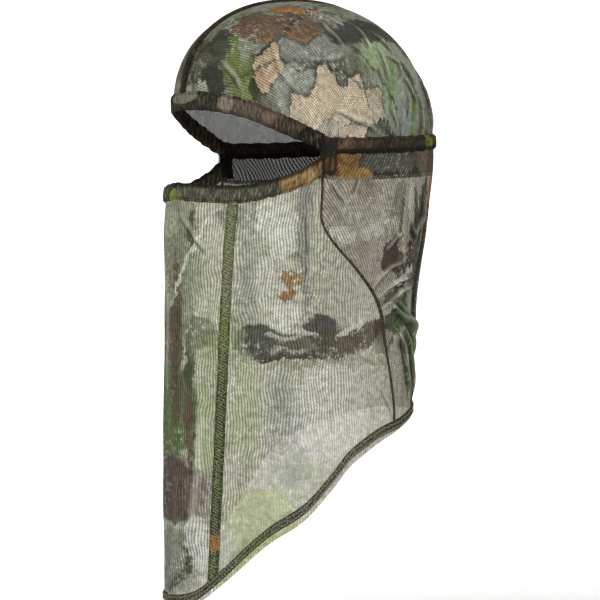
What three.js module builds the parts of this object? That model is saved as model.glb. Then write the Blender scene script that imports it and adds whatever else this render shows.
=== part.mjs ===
// Camouflage mesh face mask: a pull-over hood with an eye opening and a bib that hangs over the neck.
// Millimetres, +Z is up, the front faces -Y and the wearer's left is +X.
// The origin is the point under the crown that the top of the head bears on.
import * as THREE from 'three';
import { mergeVertices } from 'three/addons/utils/BufferGeometryUtils.js';

// Size of the head and neck that the cloth lies over. A depth is measured down from the top of the
// crown, and a reach forward or back from the line through both ears.
const crownHalfWidth = 80;
const foreheadReach = 107;
const crownBackReach = 117;
const sideFullDepth = 100;       // where the crown is at its widest
const frontFullDepth = 80;
const backFullDepth = 122;
const crownFullness = 2.2;       // exponent of the dome's arc: 2 is an ellipse, more is squarer
const noseDepth = 190;
const neckDepth = 250;           // the chin line, where the bib hinges
const neckHalfWidth = 74;
const bibReach = 118;
const neckBackReach = 96;

// Eye opening
const browDepth = 89;            // lower edge of the brow hem at the front centre
const lidDepth = 145;            // upper edge of the lower hem at the front centre
const cornerDepth = 122;         // both hems meet here, at the temples
const cornerHeight = 2;
const templeAngle = 76;          // degrees round from the front centre
const browHemWidth = 15;
const lowerHemWidth = 14;

// Headband round the back of the head
const bandWidth = 13;
const bandBackDepth = 116;
const doubleBandWidth = 19;
const hemWidthChangeAhead = 16;  // degrees before the temple where the hem widths turn into the band's
const hemWidthChangeBehind = 8;  // and degrees behind it

// Seams and bottom edge
const bibTipDepth = 477;
const napeHemDepth = 326;
const bottomHemWidth = 8;
const cheekSeamAngle = 39;       // at the lower hem
const bibSeamAngle = 29;         // at the tip of the bib
const cheekSeamWidth = 8.5;
const neckSeamWidth = 3;
const neckSeamTurnDepth = 168;   // where the neck seam leaves the temple's line and runs back
const neckSeamSweep = 34;        // degrees that it runs back on its way to the chin line
const neckSeamSweepEnd = 8;      // below the chin line
const neckSeamLowerSweep = 9;    // degrees that it runs back again toward the nape
const centreSeamWidth = 10;

// Cloth, tape and elastic
const clothThickness = 1;
const seamThickness = 2.2;
const casingThickness = 3.4;
const casingWall = 0.8;
const elasticThickness = 1;
const elasticWidth = 8;
const bartackWidth = 4.5;
const bartackThickness = 4.4;
const sewnGap = 0.3;             // between two pieces that are sewn edge to edge
const crownTop = seamThickness / 2;   // puts the inside of the crown seam at the origin

const { lerp: mix, smoothstep, degToRad, radToDeg } = THREE.MathUtils;
const tiny = 1e-6;               // widths below this are the top of the crown itself
const slopeStep = 0.05;          // depth either side of a place over which its slope is measured
const solvePasses = 40;          // enough to settle an angle and a depth that depend on each other
const mergeDistance = 1e-4;

// Depth of a smooth line at any angle, through [angle, share] points between two depths.
function lineBetween(startDepth, endDepth, points) {
  const slope = (i) => {
    const before = points[Math.max(i - 1, 0)];
    const after = points[Math.min(i + 1, points.length - 1)];
    return (after[1] - before[1]) / (after[0] - before[0]);
  };
  return (angle) => {
    let i = 0;
    while (i < points.length - 2 && angle > points[i + 1][0]) i += 1;
    const span = points[i + 1][0] - points[i][0];
    const s = THREE.MathUtils.clamp((angle - points[i][0]) / span, 0, 1);
    const [a, b] = [points[i][1], points[i + 1][1]];
    const bend = (slope(i) * span * (1 - s) - slope(i + 1) * span * s + (b - a) * (2 * s - 1)) * s * (1 - s);
    return mix(startDepth, endDepth, mix(a, b, s) + bend);
  };
}

// Lines round the mask. Angles run from the front centre (0) over the temple to the back (180). The two
// eye lines are drawn over a span of their own, which is then fitted to the temple.
const eyeSpan = 76;
const eyeTop = lineBetween(browDepth, cornerDepth,
  [[0, 0], [20, 0.04], [40, 0.22], [57, 0.57], [eyeSpan, 1]]);
const eyeBottom = lineBetween(lidDepth, cornerDepth + cornerHeight,
  [[0, 0], [31, -0.14], [42, -0.14], [54, 0.05], [66, 0.43], [eyeSpan, 1]]);
const bottomEdge = lineBetween(bibTipDepth, napeHemDepth, [
  [0, 0], [20, 0.03], [35, 0.14], [57, 0.35], [70, 0.46],
  [82, 0.62], [91, 0.74], [114, 0.87], [155, 0.985], [180, 1],
]);

const fold = (angle) => Math.abs(angle > 180 ? 360 - angle : angle);
const atEye = (angle) => angle * eyeSpan / templeAngle;
const towardBand = (angle) =>
  smoothstep(angle, templeAngle - hemWidthChangeAhead, templeAngle + hemWidthChangeBehind);

function bandBottom(angle) {
  return mix(cornerDepth + cornerHeight, bandBackDepth, smoothstep(angle, templeAngle, 180));
}

// Lower edge of the brow hem, and of the headband behind the temple.
function upperEdge(angle) {
  const turn = fold(angle);
  return turn <= templeAngle ? eyeTop(atEye(turn)) : bandBottom(turn) - sewnGap;
}

// Upper edge of the lower hem, and of the double band behind the temple.
function lowerEdge(angle) {
  const turn = fold(angle);
  return turn <= templeAngle ? eyeBottom(atEye(turn)) : bandBottom(turn);
}

const crownRim = (angle) => upperEdge(angle) - mix(browHemWidth, bandWidth, towardBand(fold(angle)));
const panelTop = (angle) => lowerEdge(angle) + mix(lowerHemWidth, doubleBandWidth, towardBand(fold(angle)));
const hemBottom = (angle) => bottomEdge(fold(angle));
const hemTop = (angle) => hemBottom(angle) - bottomHemWidth;
const chinLine = () => neckDepth;

// Shape of the head: half width, and reach to the front and to the back, at a depth.
function domeRadius(depth, radius, fullDepth) {
  const rise = Math.max(0, 1 - depth / fullDepth);
  return radius * (1 - rise ** crownFullness) ** (1 / crownFullness);
}

function halfWidth(depth) {
  return domeRadius(depth, crownHalfWidth, sideFullDepth)
    + (neckHalfWidth - crownHalfWidth) * smoothstep(depth, sideFullDepth, neckDepth);
}

function frontReach(depth) {
  return domeRadius(depth, foreheadReach, frontFullDepth)
    + (bibReach - foreheadReach) * smoothstep(depth, frontFullDepth, noseDepth);
}

function backReach(depth) {
  return domeRadius(depth, crownBackReach, backFullDepth)
    + (neckBackReach - crownBackReach) * smoothstep(depth, backFullDepth, neckDepth);
}

// A point that stands off the middle of the cloth by an offset, along the outward normal.
function clothPoint(angle, depth, offset) {
  const turn = degToRad(angle);
  const reach = Math.cos(turn) > 0 ? frontReach : backReach;
  const wide = halfWidth(depth);
  const deep = reach(depth);
  const x = wide * Math.sin(turn);
  const y = -deep * Math.cos(turn);
  const z = crownTop - depth;
  if (wide < tiny) return new THREE.Vector3(0, 0, z + offset);
  const step = Math.min(slopeStep, depth / 2);
  const widening = (halfWidth(depth + step) - halfWidth(depth - step)) / (2 * step);
  const deepening = (reach(depth + step) - reach(depth - step)) / (2 * step);
  const normal = new THREE.Vector3(
    x,
    y * (wide / deep) ** 2,
    x * x * widening / wide + y * y * deepening * wide * wide / deep ** 3,
  );
  return new THREE.Vector3(x, y, z).addScaledVector(normal.normalize(), offset);
}

// Degrees that a length across the cloth takes up at a place.
function degreesFor(length, angle, depth) {
  const turn = degToRad(angle);
  const reach = Math.cos(turn) > 0 ? frontReach : backReach;
  return radToDeg(length / Math.hypot(halfWidth(depth) * Math.cos(turn), reach(depth) * Math.sin(turn)));
}

// Seams down the mask, as an angle at each depth, moved sideways by a length.
function cheekSeam(shift) {
  return (depth) => {
    const angle = mix(cheekSeamAngle, bibSeamAngle, (depth - lidDepth) / (bibTipDepth - lidDepth));
    return angle + degreesFor(shift, angle, depth);
  };
}

function neckSeam(shift) {
  return (depth) => {
    const angle = templeAngle
      + neckSeamSweep * smoothstep(depth, neckSeamTurnDepth, neckDepth + neckSeamSweepEnd)
      + neckSeamLowerSweep * smoothstep(depth, neckDepth, napeHemDepth);
    return angle + degreesFor(shift, angle, depth);
  };
}

const centreBack = (shift) => (depth) => 180 + degreesFor(shift, 180, depth);
const at = (angle) => () => angle;
const below = (line, length) => (angle) => line(angle) + length;

// A region of cloth between two sides, given as angle at a depth, and two lines, given as depth at an angle.
function region(left, right, top, bottom, spread = (share) => share) {
  return (across, down) => {
    let angle = mix(left(neckDepth), right(neckDepth), across);
    let depth = 0;
    for (let pass = 0; pass < solvePasses; pass += 1) {
      depth = mix(top(angle), bottom(angle), spread(down));
      angle = mix(left(depth), right(depth), across);
    }
    return [angle, depth];
  };
}

// Joins equal loops of points into one closed shell. A second set of loops cuts a channel through it.
function shellFromLoops(loops, channel) {
  const positions = [];
  const triangles = [];
  const size = loops[0].length;
  const last = loops.length - 1;
  [...loops, ...(channel ?? [])].forEach((loop) => loop.forEach((p) => positions.push(p.x, p.y, p.z)));
  const vertex = (loop, k) => loop * size + (k % size);
  const quad = (a, b, c, d) => triangles.push([a, b, c], [a, c, d]);
  for (let i = 0; i < last; i += 1) {
    for (let k = 0; k < size; k += 1) {
      quad(vertex(i, k), vertex(i, k + 1), vertex(i + 1, k + 1), vertex(i + 1, k));
      if (channel) {
        const j = i + loops.length;
        quad(vertex(j, k), vertex(j + 1, k), vertex(j + 1, k + 1), vertex(j, k + 1));
      }
    }
  }
  if (channel) {
    for (let k = 0; k < size; k += 1) {
      const [first, end] = [loops.length, loops.length + last];
      quad(vertex(0, k), vertex(first, k), vertex(first, k + 1), vertex(0, k + 1));
      quad(vertex(last, k), vertex(last, k + 1), vertex(end, k + 1), vertex(end, k));
    }
  } else {
    for (let k = 0; k < size / 2 - 1; k += 1) {
      const across = size - 1 - k;
      quad(vertex(0, k), vertex(0, across), vertex(0, across - 1), vertex(0, k + 1));
      quad(vertex(last, k), vertex(last, k + 1), vertex(last, across - 1), vertex(last, across));
    }
  }
  return closedGeometry(positions, triangles);
}

function closedGeometry(positions, triangles) {
  const geometry = new THREE.BufferGeometry();
  geometry.setAttribute('position', new THREE.Float32BufferAttribute(positions, 3));
  geometry.setIndex(triangles.flat());
  const merged = mergeVertices(geometry, mergeDistance);
  const index = merged.getIndex().array;
  const kept = [];
  for (let i = 0; i < index.length; i += 3) {
    const [a, b, c] = [index[i], index[i + 1], index[i + 2]];
    if (a !== b && b !== c && c !== a) kept.push(a, b, c);
  }
  merged.setIndex(kept);
  merged.computeVertexNormals();
  return merged;
}

// A sheet of cloth over a region: columns of cells round the head, rows of cells down it.
function sheet(place, columns, rows, thickness) {
  const loops = [];
  for (let i = 0; i <= columns; i += 1) {
    const outside = [];
    const inside = [];
    for (let k = 0; k <= rows; k += 1) {
      const [angle, depth] = place(i / columns, k / rows);
      outside.push(clothPoint(angle, depth, thickness / 2));
      inside.unshift(clothPoint(angle, depth, -thickness / 2));
    }
    loops.push([...outside, ...inside]);
  }
  return shellFromLoops(loops);
}

// A hem folded over into a flat tube, open at both ends for its elastic.
function casing(fromAngle, toAngle, top, bottom, columns) {
  const ring = (angle, inset) => {
    const reach = casingThickness / 2 - inset;
    const [high, low] = [top(angle) + inset, bottom(angle) - inset];
    return [[high, reach], [low, reach], [low, -reach], [high, -reach]]
      .map(([depth, offset]) => clothPoint(angle, depth, offset));
  };
  const angles = Array.from({ length: columns + 1 }, (_, i) => mix(fromAngle, toAngle, i / columns));
  return shellFromLoops(angles.map((a) => ring(a, 0)), angles.map((a) => ring(a, casingWall)));
}

// The elastic strip along the middle of a casing.
function elasticIn(fromAngle, toAngle, top, bottom, columns) {
  const edge = (side) => (angle) => (top(angle) + bottom(angle) + side * elasticWidth) / 2;
  return sheet(region(at(fromAngle), at(toAngle), edge(-1), edge(1)), columns, 1, elasticThickness);
}

// The centre seam over the crown, from the brow hem to the headband.
function crownSeam(columns, rows) {
  const startDepth = (x) => sideFullDepth
    * (1 - (1 - (Math.abs(x) / crownHalfWidth) ** crownFullness) ** (1 / crownFullness));
  const loops = [];
  for (let i = 0; i <= columns; i += 1) {
    const along = 2 * i / columns - 1;
    const outside = [];
    const inside = [];
    for (let k = 0; k <= rows; k += 1) {
      const x = centreSeamWidth * (k / rows - 0.5);
      let angle = 0;
      let depth = 0;
      for (let pass = 0; pass < solvePasses; pass += 1) {
        depth = mix(startDepth(x), crownRim(angle) - sewnGap, 1 - Math.cos(along * Math.PI / 2));
        const lean = radToDeg(Math.asin(THREE.MathUtils.clamp(x / Math.max(halfWidth(depth), tiny), -1, 1)));
        angle = along < 0 ? lean : 180 - lean;
      }
      outside.push(clothPoint(angle, depth, seamThickness / 2));
      inside.unshift(clothPoint(angle, depth, -seamThickness / 2));
    }
    loops.push([...outside, ...inside]);
  }
  return shellFromLoops(loops);
}

// One half of the crown, from the centre seam down to the brow hem and headband.
function crownPanel(columns, rows) {
  const edge = centreSeamWidth / 2 + sewnGap;
  const lean = (depth) => radToDeg(Math.asin(Math.min(1, edge / Math.max(halfWidth(depth), edge))));
  const startDepth = sideFullDepth
    * (1 - (1 - (edge / crownHalfWidth) ** crownFullness) ** (1 / crownFullness));
  const place = region(lean, (depth) => 180 - lean(depth), at(startDepth), below(crownRim, -sewnGap),
    (share) => 1 - Math.cos(share * Math.PI / 2));
  return sheet(place, columns, rows, clothThickness);
}

// The same piece for the wearer's right side.
function mirrored(geometry) {
  const copy = geometry.clone().scale(-1, 1, 1);
  const index = copy.getIndex().array;
  for (let i = 0; i < index.length; i += 3) [index[i + 1], index[i + 2]] = [index[i + 2], index[i + 1]];
  copy.computeVertexNormals();
  return copy;
}

const mask = new THREE.Group();
mask.name = 'camo_face_mask';

const finishes = {
  crownMesh: { color: 0x6b6a4c, roughness: 0.85 },
  paleMesh: { color: 0xb9bda6, roughness: 0.85 },
  cheekMesh: { color: 0xb0aea2, roughness: 0.85 },
  darkTape: { color: 0x3a3a30, roughness: 0.9 },
  oliveSeam: { color: 0x3d4a22, roughness: 0.9 },
  brownSeam: { color: 0x5a3d28, roughness: 0.9 },
  elastic: { color: 0x141414, roughness: 0.7 },
  thread: { color: 0x1b1a17, roughness: 0.8 },
};

function addPiece(name, finish, geometry) {
  const material = new THREE.MeshStandardMaterial({ ...finishes[finish], metalness: 0 });
  const piece = new THREE.Mesh(geometry, material);
  piece.name = name;
  mask.add(piece);
}

function addPair(name, finish, geometry) {
  addPiece(`${name}_left`, finish, geometry);
  addPiece(`${name}_right`, finish, mirrored(geometry));
}

// Crown: two mesh panels joined by a bound seam from brow to headband.
addPair('crown_panel', 'crownMesh', crownPanel(24, 10));
addPiece('crown_centre_seam', 'brownSeam', crownSeam(36, 2));

// Eye opening: two hems, each folded round an elastic, and the headband that carries them on.
const bartackAngle = templeAngle + degreesFor(sewnGap, templeAngle, cornerDepth);
const bandStart = bartackAngle + degreesFor(bartackWidth, templeAngle, cornerDepth);
const bandAngle = bandStart + degreesFor(sewnGap, bandStart, cornerDepth);
const bandEnd = 360 - bandAngle;
const hemFoot = below(panelTop, -sewnGap);
addPiece('brow_hem_casing', 'darkTape', casing(-templeAngle, templeAngle, crownRim, upperEdge, 26));
addPiece('brow_elastic', 'elastic', elasticIn(-templeAngle, templeAngle, crownRim, upperEdge, 26));
addPiece('lower_hem_casing', 'darkTape', casing(-templeAngle, templeAngle, lowerEdge, hemFoot, 26));
addPiece('lower_hem_elastic', 'elastic', elasticIn(-templeAngle, templeAngle, lowerEdge, hemFoot, 26));
addPiece('headband_casing', 'darkTape', casing(bandAngle, bandEnd, crownRim, upperEdge, 36));
addPiece('headband_elastic', 'elastic', elasticIn(bandAngle, bandEnd, crownRim, upperEdge, 36));
addPiece('headband_double_layer', 'darkTape',
  sheet(region(at(bandAngle), at(bandEnd), lowerEdge, hemFoot), 36, 2, 2 * clothThickness));
addPair('temple_bartack', 'thread',
  sheet(region(at(bartackAngle), at(bandStart), crownRim, hemFoot), 1, 6, bartackThickness));

// Face and cheeks, from the lower hem down to the chin line.
const halfSeam = cheekSeamWidth / 2;
const halfNeckSeam = neckSeamWidth / 2;
const halfCentreSeam = centreSeamWidth / 2;
const faceSide = cheekSeam(-halfSeam - sewnGap);
const otherFaceSide = (depth) => -faceSide(depth);
const cheekFront = cheekSeam(halfSeam + sewnGap);
const cheekBack = neckSeam(-halfNeckSeam - sewnGap);
const neckFront = neckSeam(halfNeckSeam + sewnGap);
const neckBack = centreBack(-halfCentreSeam - sewnGap);
addPiece('face_panel', 'paleMesh',
  sheet(region(otherFaceSide, faceSide, panelTop, chinLine), 12, 6, clothThickness));
addPair('cheek_seam', 'oliveSeam',
  sheet(region(cheekSeam(-halfSeam), cheekSeam(halfSeam), panelTop, chinLine), 1, 6, seamThickness));
addPair('cheek_panel', 'cheekMesh',
  sheet(region(cheekFront, cheekBack, panelTop, chinLine), 10, 14, clothThickness));

// Neck: a panel each side of the centre back, joined to the cheek and bib by the neck seam.
const hemHead = below(hemTop, -sewnGap);
addPair('neck_seam', 'brownSeam',
  sheet(region(neckSeam(-halfNeckSeam), neckSeam(halfNeckSeam), panelTop, hemHead), 1, 28, seamThickness));
addPair('neck_panel', 'cheekMesh',
  sheet(region(neckFront, neckBack, panelTop, hemHead), 12, 28, clothThickness));
addPiece('neck_centre_seam', 'brownSeam',
  sheet(region(centreBack(-halfCentreSeam), centreBack(halfCentreSeam), panelTop, hemHead),
    2, 10, seamThickness));

// Bib, from the chin line down to its hem.
const chinTop = below(chinLine, sewnGap);
addPiece('bib_panel', 'paleMesh',
  sheet(region(otherFaceSide, faceSide, chinTop, hemHead), 20, 10, clothThickness));
addPair('bib_seam', 'oliveSeam',
  sheet(region(cheekSeam(-halfSeam), cheekSeam(halfSeam), chinTop, hemHead), 2, 10, seamThickness));
addPair('bib_side_panel', 'paleMesh',
  sheet(region(cheekFront, cheekBack, chinTop, hemHead), 20, 8, clothThickness));
addPiece('bib_hem', 'darkTape',
  sheet(region((depth) => -cheekSeam(halfSeam)(depth), cheekSeam(halfSeam), hemTop, hemBottom),
    24, 1, seamThickness));
addPair('side_hem', 'darkTape',
  sheet(region(cheekFront, neckSeam(halfNeckSeam), hemTop, hemBottom), 24, 1, seamThickness));
addPiece('nape_hem', 'darkTape',
  sheet(region(neckFront, (depth) => 360 - neckFront(depth), hemTop, hemBottom), 20, 1, seamThickness));

export default mask;
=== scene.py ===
import math

import bmesh
import bpy
import numpy as np
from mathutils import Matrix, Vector


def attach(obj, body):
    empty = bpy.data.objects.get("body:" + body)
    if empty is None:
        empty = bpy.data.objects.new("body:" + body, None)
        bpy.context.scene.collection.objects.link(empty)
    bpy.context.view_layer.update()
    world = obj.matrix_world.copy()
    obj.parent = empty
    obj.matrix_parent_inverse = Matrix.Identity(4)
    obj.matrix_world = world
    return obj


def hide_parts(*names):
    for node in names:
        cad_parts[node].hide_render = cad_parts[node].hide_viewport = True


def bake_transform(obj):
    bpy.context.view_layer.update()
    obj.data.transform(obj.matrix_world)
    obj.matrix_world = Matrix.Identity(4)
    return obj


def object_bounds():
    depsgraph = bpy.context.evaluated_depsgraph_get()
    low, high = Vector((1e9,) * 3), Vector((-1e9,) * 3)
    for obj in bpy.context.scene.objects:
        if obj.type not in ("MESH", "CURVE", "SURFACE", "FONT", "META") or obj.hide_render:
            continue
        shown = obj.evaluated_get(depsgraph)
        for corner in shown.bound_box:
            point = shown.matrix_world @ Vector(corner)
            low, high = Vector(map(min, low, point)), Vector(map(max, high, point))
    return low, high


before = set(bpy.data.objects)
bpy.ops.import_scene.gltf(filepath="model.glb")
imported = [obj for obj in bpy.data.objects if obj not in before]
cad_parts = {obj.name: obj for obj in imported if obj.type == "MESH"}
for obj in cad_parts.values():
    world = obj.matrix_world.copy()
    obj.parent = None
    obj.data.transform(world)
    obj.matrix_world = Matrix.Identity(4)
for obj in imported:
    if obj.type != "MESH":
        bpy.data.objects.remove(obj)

MM = 0.001
cad_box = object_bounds()


# ---------------------------------------------------------------- camera
# A long lens at eye height, 58 degrees to the wearer's left of the front.

VIEW_TURN = math.radians(58)
VIEW_RISE = math.radians(1)
VIEW_DISTANCE = 2.4
FRAME_WIDTH = 0.480
FILM_WIDTH = 36

camera = bpy.data.objects.new("camera", bpy.data.cameras.new("camera"))
bpy.context.scene.collection.objects.link(camera)
camera.data.sensor_width = FILM_WIDTH
camera.data.lens = FILM_WIDTH * VIEW_DISTANCE / FRAME_WIDTH
box_centre = (Vector(cad_box[0]) + Vector(cad_box[1])) / 2
toward_camera = Vector((math.sin(VIEW_TURN) * math.cos(VIEW_RISE),
                        -math.cos(VIEW_TURN) * math.cos(VIEW_RISE),
                        math.sin(VIEW_RISE)))
camera.location = box_centre + toward_camera * VIEW_DISTANCE
camera.rotation_euler = (-toward_camera).to_track_quat("-Z", "Y").to_euler()
bpy.context.scene.camera = camera


# ---------------------------------------------------------------- crown panels
# Two panels of camouflage-printed warp-knit netting, cut as half domes and sewn along the middle.
# The cloth lies over the head, so one surface gives every piece its place: an angle round from the
# front centre in degrees, and a depth below the top in millimetres, as the CAD lays it out.

FULLNESS = 2.2             # how square the dome is: 2 is round
CROWN_TOP = 1.1            # height of the cloth over the point that the head bears on
CROWN_HALF_WIDTH = 80
SIDE_FULL_DEPTH = 100      # depth at which the sides, the front and the back come down straight
FRONT_FULL_DEPTH = 80
BACK_FULL_DEPTH = 122
FRONT_REACH = 107
BACK_REACH = 117
FACE_SWELL = 11            # how far the front stands out again below the brow
FACE_DEPTH = 190
SIDE_DRAW_IN = 6           # how far the sides and the nape come in below
NAPE_DRAW_IN = 21
CHIN_DEPTH = 250
TEMPLE = 76                # the angle at which all three casings meet


def ease(value, start, end):
    s = np.clip((value - start) / (end - start), 0, 1)
    return s * s * (3 - 2 * s)


def dome(depth, radius, full_depth):
    """A radius that grows from nothing at the top to its full size, as a rounded square does."""
    rise = np.maximum(0, 1 - depth / full_depth)
    return radius * (1 - rise ** FULLNESS) ** (1 / FULLNESS)


def half_width(depth):
    """How far the surface stands out to either side."""
    drawn_in = SIDE_DRAW_IN * ease(depth, SIDE_FULL_DEPTH, CHIN_DEPTH)
    return dome(depth, CROWN_HALF_WIDTH, SIDE_FULL_DEPTH) - drawn_in


def reach(angle, depth):
    """How far it stands out to the front or to the back."""
    swell = FACE_SWELL * ease(depth, FRONT_FULL_DEPTH, FACE_DEPTH)
    front = dome(depth, FRONT_REACH, FRONT_FULL_DEPTH) + swell
    drawn_in = NAPE_DRAW_IN * ease(depth, BACK_FULL_DEPTH, CHIN_DEPTH)
    back = dome(depth, BACK_REACH, BACK_FULL_DEPTH) - drawn_in
    return np.where(np.cos(np.radians(angle)) > 0, front, back)


def bare_point(angle, depth):
    """A place on the plain surface, before the cloth's folds."""
    turn = np.radians(angle)
    return np.stack([half_width(depth) * np.sin(turn),
                     -reach(angle, depth) * np.cos(turn),
                     CROWN_TOP - depth + 0 * turn], -1)


def bare_normal(angle, depth):
    """The way out of the plain surface."""
    step = np.minimum(0.05, depth / 2)
    wide, deep = half_width(depth), reach(angle, depth)
    widening = (half_width(depth + step) - half_width(depth - step)) / (2 * step)
    deepening = (reach(angle, depth + step) - reach(angle, depth - step)) / (2 * step)
    x, y = wide * np.sin(np.radians(angle)), -deep * np.cos(np.radians(angle))
    normal = np.stack([x, y * (wide / deep) ** 2,
                       x * x * widening / wide + y * y * deepening * wide ** 2 / deep ** 3], -1)
    return normal / np.linalg.norm(normal, axis=-1, keepdims=True)


def ripple(x, y, seed):
    """A smooth irregular wave between about -1 and 1."""
    total = np.zeros(np.broadcast(x, y).shape)
    for k in range(4):
        spin = seed * 1.7 + k * 2.1
        total = total + np.sin(x * math.cos(spin) + y * math.sin(spin) + seed * (k + 1.3)) / 2.6
    return total


def signed_turn(angle):
    """The angle from the front: to the left up to 180, and to the right below 0."""
    return np.where(angle > 180, angle - 360, angle)


# Folds that the elastics and the wearer's head pull into the cloth: height and width of the ridge in
# millimetres, which stands on the left of the line, and the line's points as angle and depth.
FOLDS = [
    (1.6, 4.0, [(78, 18), (81, 26), (85, 33), (88, 41)]),
    (0.9, 3.0, [(66, 50), (74, 52), (82, 52), (91, 46)]),
    (1.6, 4.0, [(102, 22), (104, 30), (104, 42)]),
    (1.8, 3.6, [(114, 27), (119, 35), (122, 44)]),
    (2.2, 4.0, [(111, 36), (110, 53), (110, 71)]),
    (1.8, 3.0, [(112, 44), (122, 51), (121, 59), (114, 68)]),
    (2.4, 3.4, [(125, 48), (128, 58), (133, 68)]),
    (2.0, 3.2, [(121, 58), (125, 70), (129, 84)]),
    (1.6, 3.0, [(123, 70), (121, 84), (119, 96)]),
    (2.2, 3.4, [(135, 70), (132, 90), (129, 112)]),
    (1.8, 4.0, [(78, 88), (89, 98), (96, 102), (103, 112)]),
    (1.4, 3.0, [(108, 86), (110, 94), (112, 104)]),
    (2.4, 4.2, [(146, 58), (148, 80), (146, 108)]),
    (2.4, 4.0, [(160, 46), (158, 76), (162, 108)]),
    (1.2, 4.0, [(24, 52), (34, 66), (38, 78)]),
    (1.0, 4.0, [(50, 38), (56, 62), (66, 84)]),
    (1.6, 2.6, [(92, 140), (91, 147), (89, 155)]),
    (1.2, 3.0, [(78, 144), (82, 153), (87, 164)]),
    (2.0, 3.2, [(119, 146), (118, 166), (118, 184), (121, 196)]),
    (1.8, 3.0, [(125, 144), (128, 158), (130, 170)]),
    (2.4, 3.2, [(125, 168), (128, 182), (133, 188), (138, 178), (142, 160)]),
    (2.4, 3.4, [(134, 148), (137, 166), (137, 182)]),
    (2.2, 3.0, [(110, 201), (116, 190), (124, 183)]),
    (2.6, 2.8, [(103, 231), (107, 222), (114, 213), (128, 207)]),
    (2.6, 2.8, [(107, 238), (113, 230), (122, 224), (138, 219)]),
    (2.8, 3.0, [(110, 246), (118, 238), (128, 231), (142, 228)]),
    (4.0, 4.2, [(112, 238), (122, 249), (136, 258), (148, 270)]),
    (4.4, 4.6, [(118, 236), (130, 250), (142, 268), (150, 292)]),
    (3.6, 3.6, [(121, 258), (128, 276), (133, 300), (137, 320)]),
    (3.4, 3.6, [(128, 256), (140, 280), (148, 304), (152, 322)]),
    (3.0, 4.0, [(150, 150), (148, 190), (150, 240), (154, 300)]),
    (2.6, 4.0, [(164, 146), (160, 200), (164, 262), (166, 320)]),
    (0.9, 5.0, [(69, 158), (70, 180), (71, 205), (70, 236)]),
    (0.8, 3.0, [(107, 306), (113, 318), (119, 332)]),
    (1.2, 5.0, [(4, 168), (16, 186), (27, 204)]),
    (1.2, 5.0, [(-18, 188), (-6, 240), (-10, 320)]),
    (1.0, 7.0, [(20, 300), (19, 360), (12, 430)]),
]


def folds_at(angle, depth, base, normal):
    """What the folds add at each place: lift, painted shade in the bunched hollow beside each ridge, and a
    painted highlight on its top.
    """
    turn = signed_turn(angle)
    side = np.where(turn < -28, -1.0, 1.0)
    placed = base * np.stack([side, np.ones_like(side), np.ones_like(side)], -1)
    outward = normal * np.stack([side, np.ones_like(side), np.ones_like(side)], -1)
    lift, valley, crest = (np.zeros(turn.shape) for _ in range(3))
    for height, width, line in FOLDS:
        angles, depths = np.array(line, float).T
        corners = bare_point(angles, depths)
        lengths = np.linalg.norm(np.diff(corners, axis=0), axis=1)
        whole, before = lengths.sum(), np.concatenate([[0], np.cumsum(lengths)])
        nearest = np.full(turn.shape, 1e9)
        signed, along = np.zeros(turn.shape), np.zeros(turn.shape)
        for i, length in enumerate(lengths):
            way = (corners[i + 1] - corners[i]) / length
            from_corner = placed - corners[i]
            run = np.clip(from_corner @ way, 0, length)
            off = from_corner - run[..., None] * way
            distance = np.linalg.norm(off, axis=-1)
            sign = np.sign(np.einsum("...i,...i", np.cross(way, off), outward))
            closer = distance < nearest
            nearest = np.where(closer, distance, nearest)
            signed = np.where(closer, distance * sign, signed)
            along = np.where(closer, before[i] + run, along)
        taper = ease(along, -2, 0.3 * whole) * ease(whole - along, -2, 0.3 * whole)
        taper = taper * np.where(nearest < 4 * width + 4, 1, 0) * np.where(side > 0, 1, 0.8)
        lift = lift + taper * height * (np.exp(-((signed - 0.6 * width) / (0.55 * width)) ** 2)
                                        - 0.35 * np.exp(-((signed + 0.35 * width) / (0.4 * width)) ** 2))
        strength = min(1.0, height / 1.3)
        valley = np.maximum(valley, taper * strength * np.exp(-(signed / 1.2) ** 2))
        on_top = np.exp(-((signed - 0.75 * width) / (0.4 * width)) ** 2)
        crest = np.maximum(crest, taper * strength * on_top)
    return lift, valley, crest


def relief(angle, depth, base, normal):
    """How far the cloth stands off the plain surface, with painted shade in the hollows of its folds and a
    painted highlight on their tops.
    """
    turn = signed_turn(angle)
    side = np.where(turn < 0, -1.0, 1.0)
    turn = np.abs(turn)
    lift, valley, crest = folds_at(angle, depth, base, normal)
    lift = lift + 0.5 * ripple(base[..., 0] / 15 + base[..., 1] / 13, depth / 19, 1.0) * ease(depth, 4, 60)
    lift = lift + 0.22 * ripple(base[..., 0] / 5 - base[..., 1] / 6, depth / 8, 2.3) * ease(depth, 20, 70)
    # Rays of gathers run out from the bartack at each temple, with painted shade in their hollows.
    across, down = (turn - (TEMPLE + 3)) * 1.7, depth - BAND_DEPTH
    distance = np.hypot(across, down)
    fan = np.sin(9 * np.arctan2(down, across) + 1.5 * ripple(distance / 9, turn / 9, 3.1))
    pull = ease(distance, 3, 14) * np.exp(-distance / 24)
    lift = lift + 1.9 * fan * pull
    valley = np.maximum(valley, 0.9 * pull * ease(-fan, 0.45, 1.0))
    # The loose far side of the bib hangs in broad waves.
    drape = ease(depth, 240, 430) * ease(-turn, -120, -70)
    lift = lift + drape * (3.6 * np.sin(turn / 11.5 + 0.6 * side) + 1.4 * np.sin(turn / 5.1 + depth / 60))
    return lift, valley, crest


def tuck(angle, depth):
    """The right half of the bib hangs closer to the neck than the left, and curls back at its tip."""
    turn = signed_turn(angle)
    closer = 8 * ease(depth, 160, 230) + 14 * ease(depth, 300, 470)
    pull = ease(-turn, 10, 40) * ease(turn, -150, -80) * closer
    return np.stack([0.6 * pull, 0.8 * pull, 0 * pull], -1)


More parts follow.
